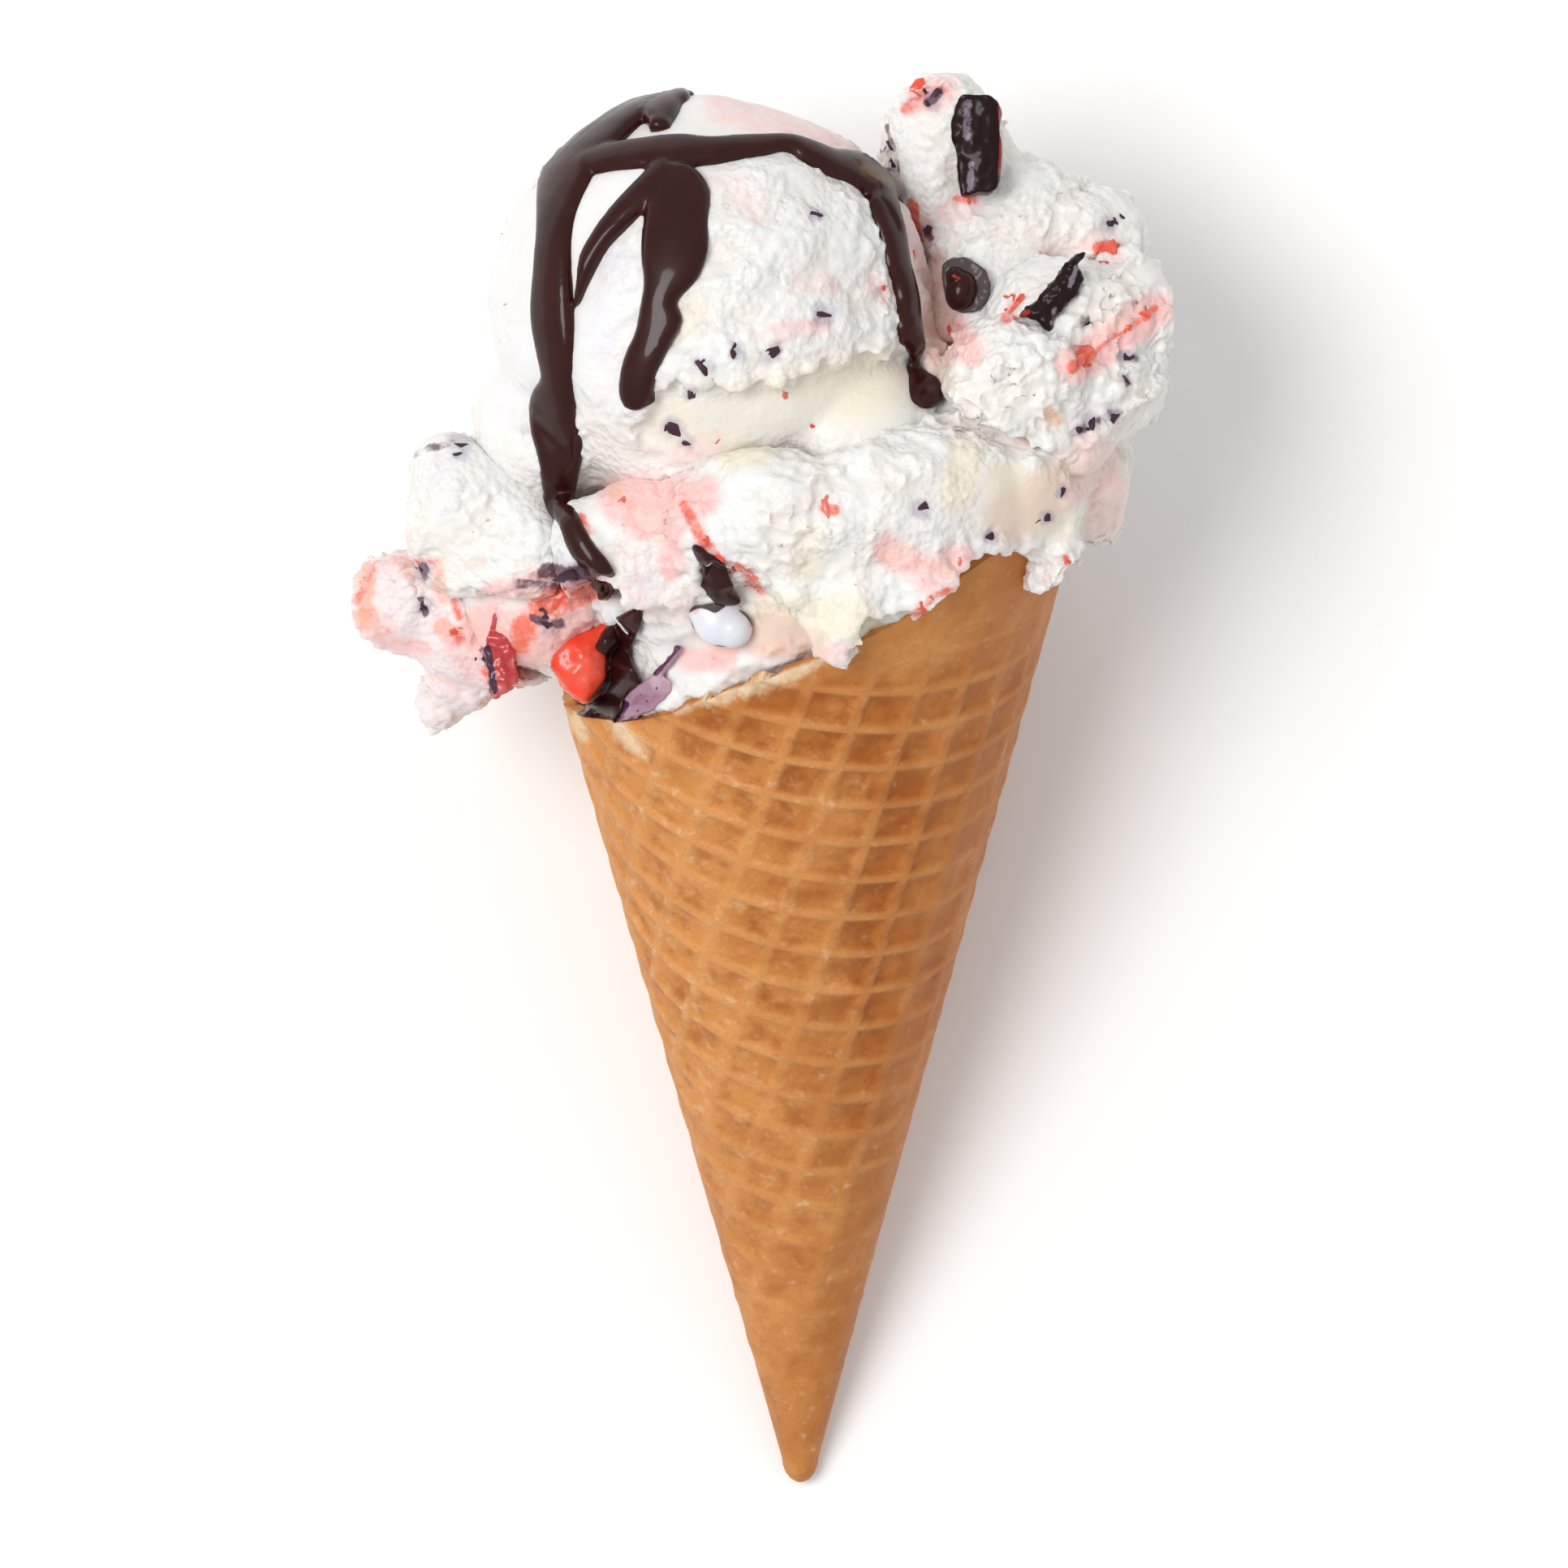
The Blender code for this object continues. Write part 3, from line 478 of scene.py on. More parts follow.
def creamFinish(name, white):
    made = Finish(name)
    frost = made.noise(cream["frost"], 3, 0.65)
    crumb = made.noise(cream["crumb"], 3, 0.6, 2)
    clouds = made.noise(cream["clouds"], 2, 0.5, 7)
    ragged = made.noise(cream["fraying"], 4, 0.65, 4) - 0.5
    colour = made.mix(made.step(clouds + made.painted("butter"), 0.52, 1.15) * 0.8, white, cream["butter"])
    # painted shade in the low places of the crags
    colour = made.mix(made.painted("hollow") * 0.3, colour, cream["hollow"])
    tints = dict(cream)
    tints["red"] = made.mix(made.step(crumb, 0.5, 0.8) * 0.8, cream["red"], cream["wine"])
    # stains, and the painted shade of the warm, cool and a few other marks
    for markName, frayed, start, full, share, tint in cream["stainsAndShade"]:
        stainAndShade = made.step(made.painted(markName) + ragged * frayed, start, full) * share
        colour = made.mix(stainAndShade, colour, tints[tint])
    grains = made.node("ShaderNodeTexVoronoi", {"feature": "SMOOTH_F1"},
                       {"Vector": made.where(), "Scale": 1 / cream["grains"], "Smoothness": 0.4}, "Distance")
    patches = made.step(made.noise(cream["patches"], 2, 0.5, 9), 0.38, 0.6) * 0.8 + 0.2
    torn = made.painted("torn") * 0.8 + 0.2
    fine = made.bump(frost * torn, 0.25 * mm, 0.5, made.bump(crumb * torn, 0.4 * mm, 0.5))
    fine = made.bump((1 - grains) * patches * torn, 0.45 * mm, 0.65, fine)
    coat, coatRoughness = cream["coat"]
    return made.set(Base_Color=colour, Roughness=cream["roughness"] + frost * 0.2, Normal=fine,
                    Subsurface_Weight=cream["glow"], Subsurface_Radius=cream["glowReach"],
                    Subsurface_Scale=cream["glowSize"], Coat_Weight=coat, Coat_Roughness=coatRoughness)


melted = {
    "colour": (0.74, 0.75, 0.80),
    "clouds": 4 * mm,
    "roughness": 0.28,
    "coat": (0.35, 0.08),
    "glow": 0.4,
    "glowReach": (1.0, 0.8, 0.8),
    "glowSize": 1.5 * mm,
}


def meltedFinish():
    # Melted ice cream: smooth and wet
    made = Finish("melted_ice_cream")
    cloud = made.noise(melted["clouds"], 2, 0.5, 3)
    colour = made.mix(cloud * 0.5, melted["colour"], tuple(1.1 * part for part in melted["colour"]))
    colour = made.mix(made.step(made.painted("pink"), 0.2, 0.9) * 0.8, colour, cream["pink"])
    coat, coatRoughness = melted["coat"]
    return made.set(Base_Color=colour, Roughness=melted["roughness"] + cloud * 0.1,
                    Normal=made.bump(cloud, 0.3 * mm, 0.6), Coat_Weight=coat, Coat_Roughness=coatRoughness,
                    Subsurface_Weight=melted["glow"], Subsurface_Radius=melted["glowReach"],
                    Subsurface_Scale=melted["glowSize"])


chocolate = {
    "melted_chocolate": {"base": (0.028, 0.005, 0.0035), "roughness": 0.3, "bloom": 0.0, "coat": 0.4},
    "broken_chocolate": {"base": (0.013, 0.0035, 0.003), "roughness": 0.32, "bloom": 0.04, "coat": 0.22},
    "chocolate_flecks": {"base": (0.060, 0.026, 0.040), "roughness": 0.4, "bloom": 0.9, "coat": 0.05},
    "milky_chocolate": {"base": (0.085, 0.06, 0.06), "roughness": 0.3, "bloom": 0.3, "coat": 0.3},
    "bloom": (0.26, 0.21, 0.25),    # dull pale streaks, of which each kind has a share
    "bronzeGlint": (0.16, 0.07, 0.02),   # and what is painted on, first a painted bronze glint
    # grey-lilac frost streaks, which on the top chunk are a painted highlight
    "frost": (0.30, 0.26, 0.31),
    "berry": (0.35, 0.02, 0.02),
    "streaks": 2.2 * mm,
    "swirls": 5 * mm,
    "fraying": 1.3 * mm,
    "coatRoughness": 0.08,
    "coatIor": 1.4,
    "specular": 0.12,
}


def chocolateFinish(name):
    kind = chocolate[name]
    made = Finish(name)
    streaks = made.noise(chocolate["streaks"], 4, 0.7)
    swirl = made.noise(chocolate["swirls"], 2, 0.5, 2)
    ragged = made.noise(chocolate["fraying"], 4, 0.7, 4) - 0.5
    lighter = tuple(1.6 * part for part in kind["base"])
    colour = made.mix(made.step(swirl, 0.4, 0.8) * 0.5, kind["base"], lighter)
    colour = made.mix(made.step(streaks, 0.6, 0.78) * kind["bloom"], colour, chocolate["bloom"])
    # painted highlight: a bronze glint
    colour = made.mix(made.painted("bronzeGlint") * 0.8, colour, chocolate["bronzeGlint"])
    # frost streaks; on the top chunk they are a painted highlight
    frostAndHighlight = made.step(made.painted("frost") + ragged * 2.4, 0.45, 1.1) * 0.7
    colour = made.mix(frostAndHighlight, colour, chocolate["frost"])
    # berry red; on the bead it is a painted highlight
    colour = made.mix(made.step(made.painted("berry") + ragged * 1.2, 0.3, 1.0), colour, chocolate["berry"])
    rough = kind["roughness"] + swirl * 0.1 + made.step(streaks, 0.55, 0.7) * kind["bloom"] * 0.4
    relief = made.bump(streaks, 0.3 * mm * kind["bloom"], 0.5)
    return made.set(Base_Color=colour, Roughness=rough, Normal=relief,
                    Specular_IOR_Level=chocolate["specular"], Coat_Weight=kind["coat"],
                    Coat_Roughness=chocolate["coatRoughness"], Coat_IOR=chocolate["coatIor"])


fruit = {
    "strawberry": {"flesh": (0.84, 0.060, 0.022), "pale": (0.88, 0.14, 0.08), "dark": (0.25, 0.01, 0.015)},
    "berry_film": {"flesh": (0.36, 0.19, 0.27), "pale": (0.62, 0.43, 0.50), "dark": (0.07, 0.015, 0.06)},
    "berry": {"flesh": (0.50, 0.035, 0.04), "pale": (0.80, 0.25, 0.25), "dark": (0.05, 0.008, 0.03)},
    "berry_bits": {"flesh": (0.80, 0.085, 0.04), "pale": (0.88, 0.28, 0.20), "dark": (0.25, 0.01, 0.03)},
    "fibres": 1.8 * mm,
    "patches": 4 * mm,
    "roughness": 0.22,
    "coat": (0.3, 0.12),
    "glow": 0.25,
    "glowReach": (1.0, 0.25, 0.15),
    "glowSize": 1.5 * mm,
}


def fruitFinish(name):
    kind = fruit[name]
    made = Finish(name)
    fibre = made.noise(fruit["fibres"], 3, 0.6)
    patch = made.noise(fruit["patches"], 2, 0.5, 3)
    colour = made.mix(made.step(patch, 0.42, 0.75) * 0.7, kind["flesh"], kind["pale"])
    colour = made.mix(made.step(made.painted("juice") + (fibre - 0.5) * 0.6, 0.3, 0.6), colour, kind["dark"])
    coat, coatRoughness = fruit["coat"]
    return made.set(Base_Color=colour, Roughness=fruit["roughness"] + fibre * 0.15,
                    Normal=made.bump(fibre, 0.4 * mm, 0.5), Coat_Weight=coat, Coat_Roughness=coatRoughness,
                    Subsurface_Weight=fruit["glow"], Subsurface_Radius=fruit["glowReach"],
                    Subsurface_Scale=fruit["glowSize"])


creamMaterial = creamFinish("ice_cream", cream["white"])
rippleMaterial = creamFinish("berry_ripple", cream["rosy"])
meltedMaterial = chocolateFinish("melted_chocolate")
chunkMaterial = chocolateFinish("broken_chocolate")
fleckMaterial = chocolateFinish("chocolate_flecks")
capMaterial = chocolateFinish("milky_chocolate")
dropletMaterial = meltedFinish()
strawberryMaterial = fruitFinish("strawberry")
filmMaterial = fruitFinish("berry_film")
berryMaterial = fruitFinish("berry")
bitMaterial = fruitFinish("berry_bits")
print("materials ready")


# Wafer: a waffle sheet is pressed flat, trimmed and rolled up

waffle = {
    "halfAngle": radians(14.235),
    "wall": 1.6 * mm,               # behind a pocket's floor
    "pocketDepth": 0.85 * mm,
    "ridgeHalf": 0.05,              # of a cell, from a ridge's middle to its edge
    "slope": 0.17,                  # and from there to the pocket's floor
    "slopeSteps": (0.3, 0.45, 0.25),    # shares of the depth, edge to floor
    "uprightDrop": 0.55,            # of the depth, that the upright ridges lie lower than the level ones
    "uprightReach": 0.4,            # of a cell, over which they do
    "pitch": (7.836 * mm, 6.143 * mm),
    "turn": radians(-12.76),
    "shear": 0.0856,
    "corner": (-16.183 * mm, 139.247 * mm),
    "cells": (38, 35),
    "firstCell": (-16, -9.5),
    "spare": (1.6, 9 * mm, 12 * mm),    # pitches past the seam, and stretches under and over the lattice
    "latticeStart": 25 * mm,
    "startDepth": (0.3, 80 * mm),   # share of the depth there, and the height in which it becomes full
    "patchy": (0.85, 0.5, 3, 20 * mm),  # usual depth, its unevenness, patches to a radian and their height
    # Where the relief is worn: the angle where that begins and in what turn, then where it ends and how
    "wornRight": (radians(25), radians(30), radians(70), radians(30)),
    "wornRightShare": 0.45,
    "plainRight": (radians(-12), radians(20), radians(70), radians(30)),
    # The sheet's last stretch without pockets there, in front and at the right, and where it grows
    "plainRim": (3 * mm, 11 * mm, radians(-5), radians(50)),
    "wornSides": (0.42, radians(84), radians(26)),  # share rubbed off at both sides, its middle and reach
    "seamStep": 1.4 * mm,
    "seamTurn": radians(70),        # in which the tucked start rises to the full radius
    "seamRise": 40 * mm,            # and the height in which the step grows
    "tipRings": (22 * mm, 19 * mm, 16 * mm, 13 * mm),
    "tipJoint": 10.4 * mm,
    "tipHeight": 6.5 * mm,
    "tipBend": (0.2, 0.4, 0.6, 0.8, 0.93),  # shares of the quarter turn, from the joint to the point
    "rim": [    # degrees from the front, height in mm
            (-180, 131), (-135, 127), (-90, 126), (-60, 128.5), (-36, 132.5), (-15, 139), (3, 144),
            (20, 149), (46, 157), (83, 147), (115, 141), (148, 135)],
    "pale": [   # lines of pixels and their reach, where the dough stayed pale
        ([(838, 862), (885, 853), (924, 842), (977, 822), (1005, 810)], 21),
        ([(704, 886), (722, 908)], 13), ([(756, 888), (772, 908), (792, 930)], 13),
    ],
    "crease": radians(50),          # sharper edges than this show as edges
    "cutNear": 1e-5,                # corners of the sheet nearer to a cut than this lie on it
    "rimPlaces": 181,               # places at which the rim is worked out for the ice cream
}
# Where the wafer is painted browner: at the right, where it is painted shade on the side away from the lamp,
# and along the rim and low down
browningAndShade = {
    "right": (radians(-40), radians(100)),      # where it starts, and in what turn it is full
    "behind": (0.6, radians(75), radians(40)),  # share lost again behind, from where and in what turn
    "rim": (0.8, 9 * mm, radians(-45), radians(30)),    # its share and depth, then as the right
    "low": (0.8, 105 * mm),                     # its share, and the height where it ends
}


def rimHeight(angle):
    # Height of the rim, on a smooth closed curve through its points
    turned = (degrees(angle) + 180) % 360 - 180
    rim = waffle["rim"]
    after = next((n for n in range(len(rim)) if rim[n][0] > turned), len(rim))
    knots = []
    for n in range(after - 2, after + 2):
        rounds, place = divmod(n, len(rim))
        knots.append((rim[place][0] + 360 * rounds, rim[place][1]))
    (a0, h0), (a1, h1), (a2, h2), (a3, h3) = knots
    rise = (h2 - h0) / (a2 - a0) * (a2 - a1)
    fall = (h3 - h1) / (a3 - a1) * (a2 - a1)
    t = (turned - a1) / (a2 - a1)
    return mm * (h1 * (2 * t**3 - 3 * t**2 + 1) + rise * (t**3 - 2 * t**2 + t)
                 + h2 * (3 * t**2 - 2 * t**3) + fall * (t**3 - t**2))


def unroll(i, j):
    # Angle and height on the cone of a place on the sheet, counted in cells
    along = i * waffle["pitch"][0] - waffle["shear"] * j * waffle["pitch"][1]
    down = -j * waffle["pitch"][1]
    flatX = waffle["corner"][0] + along * cos(waffle["turn"]) - down * sin(waffle["turn"])
    flatY = waffle["corner"][1] + along * sin(waffle["turn"]) + down * cos(waffle["turn"])
    return atan2(flatX, flatY) / sin(waffle["halfAngle"]), hypot(flatX, flatY) * cos(waffle["halfAngle"])


def onCone(angle, height, depth):
    radius = height * tan(waffle["halfAngle"]) - depth / cos(waffle["halfAngle"])
    return Vector((radius * sin(angle), -radius * cos(angle), height))


def between(angle, start, startTurn, end, endTurn):
    # 1 between two angles and 0 outside them, over soft turns
    return ease((angle - start) / startTurn) * (1 - ease((angle - end) / endTurn))


def pressSheet():
    # The relief on a flat sheet: x is the angle, y the share of the way to the rim and z the depth
    across, along = waffle["cells"]
    sparePitches, spareBelow, spareAbove = waffle["spare"]
    bpy.ops.mesh.primitive_grid_add(x_subdivisions=across, y_subdivisions=along, size=1)
    sheet = bpy.context.object
    sheet.name = "waffle_cone_wafer"
    for vertex in sheet.data.vertices:
        vertex.co.x = waffle["firstCell"][0] + (vertex.co.x + 0.5) * across
        vertex.co.y = waffle["firstCell"][1] + (vertex.co.y + 0.5) * along
    pick(sheet)
    bpy.ops.object.mode_set(mode="EDIT")
    bpy.ops.mesh.select_all(action="DESELECT")
    mesh = bmesh.from_edit_mesh(sheet.data)
    for face in mesh.faces:
        angle, height = unroll(*face.calc_center_median().xy)
        reach = pi + sparePitches * waffle["pitch"][0] / (height * sin(waffle["halfAngle"]))
        low = waffle["latticeStart"] - spareBelow
        face.select = abs(angle) > reach or not low < height < rimHeight(angle) + spareAbove
    bmesh.update_edit_mesh(sheet.data)
    bpy.ops.mesh.delete(type="FACE")
    bpy.ops.mesh.select_all(action="SELECT")
    bpy.ops.mesh.inset(use_individual=True, thickness=waffle["ridgeHalf"])
    for down in waffle["slopeSteps"]:
        bpy.ops.mesh.inset(use_individual=True, thickness=waffle["slope"] / len(waffle["slopeSteps"]))
        bpy.ops.transform.translate(value=(0, 0, down))
    bpy.ops.object.mode_set(mode="OBJECT")
    applyModifier(sheet, "SUBSURF", subdivision_type="SIMPLE", levels=1, render_levels=1)
    for vertex in sheet.data.vertices:
        fromRow = abs((vertex.co.y - waffle["firstCell"][1] + 0.5) % 1 - 0.5)
        vertex.co.z += (1 - vertex.co.z) * waffle["uprightDrop"] * ease(fromRow / waffle["uprightReach"])
    return sheet


def trimSheet(sheet):
    # Lays the cells out by angle and height, and cuts the sheet to the seam, the rim and the tip
    for vertex in sheet.data.vertices:
        angle, height = unroll(*vertex.co.xy)
        start = waffle["latticeStart"]
        vertex.co.x = angle
        vertex.co.y = (height - start) / (rimHeight(angle) - start)
    pick(sheet)
    bpy.ops.object.mode_set(mode="EDIT")
    bpy.ops.mesh.select_all(action="SELECT")
    bpy.ops.mesh.flip_normals()     # the rows count down from the rim, which turned the faces over
    cuts = [((-pi, 0, 0), (-1, 0, 0)), ((pi, 0, 0), (1, 0, 0)),
            ((0, 0, 0), (0, -1, 0)), ((0, 1, 0), (0, 1, 0))]
    for place, away in cuts:
        bpy.ops.mesh.select_all(action="SELECT")
        bpy.ops.mesh.bisect(plane_co=place, plane_no=away, clear_outer=True,
                            threshold=waffle["cutNear"])
    bpy.ops.object.mode_set(mode="OBJECT")


def wornShare(angle, height):
    # Share of the pockets' full depth that is left at a place
    start = waffle["latticeStart"]
    startShare, startReach = waffle["startDepth"]
    usual, uneven, patchTurns, patchHeight = waffle["patchy"]
    sidesShare, sidesMiddle, sidesReach = waffle["wornSides"]
    rimFront, rimRight, rimStart, rimTurn = waffle["plainRim"]
    fade = startShare + (1 - startShare) * ease((height - start) / startReach)
    patchy = usual + uneven * noise.noise(Vector((angle * patchTurns, height / patchHeight, 1)))
    worn = 1 - waffle["wornRightShare"] * between(angle, *waffle["wornRight"])
    stretch = rimFront + rimRight * ease((angle - rimStart) / rimTurn)
    plain = ease((rimHeight(angle) - height) / stretch - 0.5)
    atSides = 1 - sidesShare * within(abs(abs(angle) - sidesMiddle), sidesReach, 1.2)
    return fade * worn * atSides * (1 - between(angle, *waffle["plainRight"]) * (1 - plain)) * patchy


def rollSheet(sheet):
    # Wraps the sheet round the cone, the start of it a step lower than its last turn
    start = waffle["latticeStart"]
    depths = []
    for vertex in sheet.data.vertices:
        angle, share, depth = vertex.co
        height = start + share * (rimHeight(angle) - start)
        tuck = (1 - ease((angle + pi) / waffle["seamTurn"])) * ease((height - start) / waffle["seamRise"])
        depth *= wornShare(angle, height)
        depths.append(depth)
        vertex.co = onCone(angle, height, depth * waffle["pocketDepth"] + tuck * waffle["seamStep"])
    setAttribute(sheet, "pocket", depths)


def closeTip(sheet):
    # Draws the lower edge down in rings, and rounds it off
    pick(sheet)
    bpy.ops.object.mode_set(mode="EDIT")
    mesh = bmesh.from_edit_mesh(sheet.data)
    bpy.ops.mesh.select_all(action="DESELECT")
    height = waffle["latticeStart"]
    for edge in mesh.edges:
        edge.select = edge.is_boundary and all(v.co.z < height + touching for v in edge.verts)
    bmesh.update_edit_mesh(sheet.data)
    for ring in (*waffle["tipRings"], waffle["tipJoint"]):
        bpy.ops.mesh.extrude_edges_move()
        bpy.ops.transform.resize(value=(ring / height,) * 3, center_override=(0, 0, 0))
        height = ring
    radius = 1.0
    for share in waffle["tipBend"]:
        bpy.ops.mesh.extrude_edges_move()
        narrower = cos(share * pi / 2) / radius
        lower = waffle["tipJoint"] - (waffle["tipJoint"] - waffle["tipHeight"]) * sin(share * pi / 2)
        bpy.ops.transform.resize(value=(narrower, narrower, 1), center_override=(0, 0, 0))
        bpy.ops.transform.translate(value=(0, 0, lower - height))
        radius *= narrower
        height = lower
    bpy.ops.mesh.edge_face_add()
    bpy.ops.mesh.select_all(action="SELECT")
    bpy.ops.mesh.remove_doubles(threshold=2 * touching)
    bpy.ops.object.mode_set(mode="OBJECT")


def paintToastAndShade(sheet):
    # How much browner each place is painted, while the sheet stands upright: painted shade at the right, and
    # browner colour along the rim and low down
    standing = pointsOf(sheet)
    angles = np.arctan2(standing[:, 0], -standing[:, 1])
    rightStart, rightTurn = browningAndShade["right"]
    behindShare, behindStart, behindTurn = browningAndShade["behind"]
    rimShare, rimDepth, rimStart, rimTurn = browningAndShade["rim"]
    lowShare, lowEnd = browningAndShade["low"]
    # painted shade: darker towards the right side, which faces away from the lamp, and less again behind
    shadeOnRight = ease((angles - rightStart) / rightTurn)
    shadeOnRight *= 1 - behindShare * ease((angles - behindStart) / behindTurn)
    fromRim = np.array([rimHeight(angle) for angle in angles]) - standing[:, 2]
    nearRim = rimShare * within(fromRim, rimDepth, 1.4) * ease((angles - rimStart) / rimTurn)
    lowDown = lowShare * ease(1 - standing[:, 2] / lowEnd)
    setAttribute(sheet, "toastAndShade", np.maximum.reduce([shadeOnRight, nearRim, lowDown]))


def makeWafer():
    sheet = pressSheet()
    trimSheet(sheet)
    rollSheet(sheet)
    closeTip(sheet)
    applyModifier(sheet, "SOLIDIFY", thickness=waffle["wall"], offset=-1)
    paintToastAndShade(sheet)
    sheet.data.transform(lieDown)
    points = pointsOf(sheet)
    pixels = pixelsOf(points)
    shown = ease((normalsOf(sheet) @ np.array(facing)) * 3 + 0.5)
    pale = np.zeros(len(points))
    for route, reach in waffle["pale"]:
        pale = np.maximum(pale, np.clip(1.3 - distanceTo(pixels, route) / reach, 0, 1))
    setAttribute(sheet, "pale", pale * shown)
    points[:, 2] = np.maximum(points[:, 2], touching)
    movePoints(sheet, points)
    pick(sheet)
    bpy.ops.object.shade_smooth_by_angle(angle=waffle["crease"])
    return done(sheet, ["waffle_cone"], waferFinish())


waferSheet = makeWafer()


# Ice cream: copies of the soft solids, grown until they meet, trimmed to the lines that the photo shows,
# roughened, stained and given painted shade

# Grid and growth in mm, rounds of smoothing, strength of the crags, and degrees of the spoon's drag
bodies = {
    "ice_cream_heap": {"grid": 0.52, "grow": 0.7, "soften": 26, "crags": 1.15, "drag": -18},
    "ice_cream_scoop": {"grid": 0.48, "grow": 0.2, "soften": 12, "crags": 0.8, "drag": 4},
    "ice_cream_peak": {"grid": 0.36, "grow": 0.6, "soften": 24, "crags": 0.8, "drag": 60},
    "ice_cream_ruffle": {"grid": 0.36, "grow": 0.4, "soften": 24, "crags": 0.9, "drag": 40},
    "left_lobe": {"grid": 0.36, "grow": 0.8, "soften": 40, "crags": 0.7, "drag": 10},
    "berry_ripple_lobe": {"grid": 0.36, "grow": 0.6, "soften": 14, "crags": 1.0, "drag": -30},
}
ball = {
    "lumps": [(-11, 182, 4, 29.3, 29, 29), (-31, 168, 9, 12, 10, 14), (7, 171, 8, 15, 13, 22)],
    "fringe": [(790, 500), (812, 476), (850, 464), (905, 476), (950, 470), (1000, 452), (1057, 436),
               (1100, 428), (1135, 440)],
    "fringeStep": 2.6,     # mm that the torn face stands over the scraped band under it
    "soft": 6,             # pixels, as is the reach of the step
    "near": 90,
    "fray": ((3, 14), (1.2, 8)),    # mm and pixels
}
collar = {  # lower edge of the ragged collar and of the pink lobe beside it
    "edge": [(700, 690), (735, 712), (771, 741), (800, 749), (830, 746), (856, 728), (866, 694),
             (915, 707), (943, 713), (976, 737), (1000, 758), (1015, 805), (1041, 823), (1062, 795),
             (1062, 757), (1090, 762), (1139, 746), (1172, 721), (1204, 674), (1275, 672), (1270, 710),
             (1284, 737), (1319, 701), (1334, 672), (1400, 660)],
    "soft": 5,             # pixels
    "fray": ((2.2, 9), (1.1, 7.2)),         # mm and pixels
    "frayEnd": (radians(84), radians(30)),  # no fraying past this angle, where it would only show edge on
    "inset": 1.7,          # mm that the neck under it lies below the wafer's outer face
    "undercut": (1.4, 0.6, 3),      # mm more above the rim, from what height and over what height
    "reach": (radians(112), radians(12)),   # of the trim, from the front to each side, and its end
}
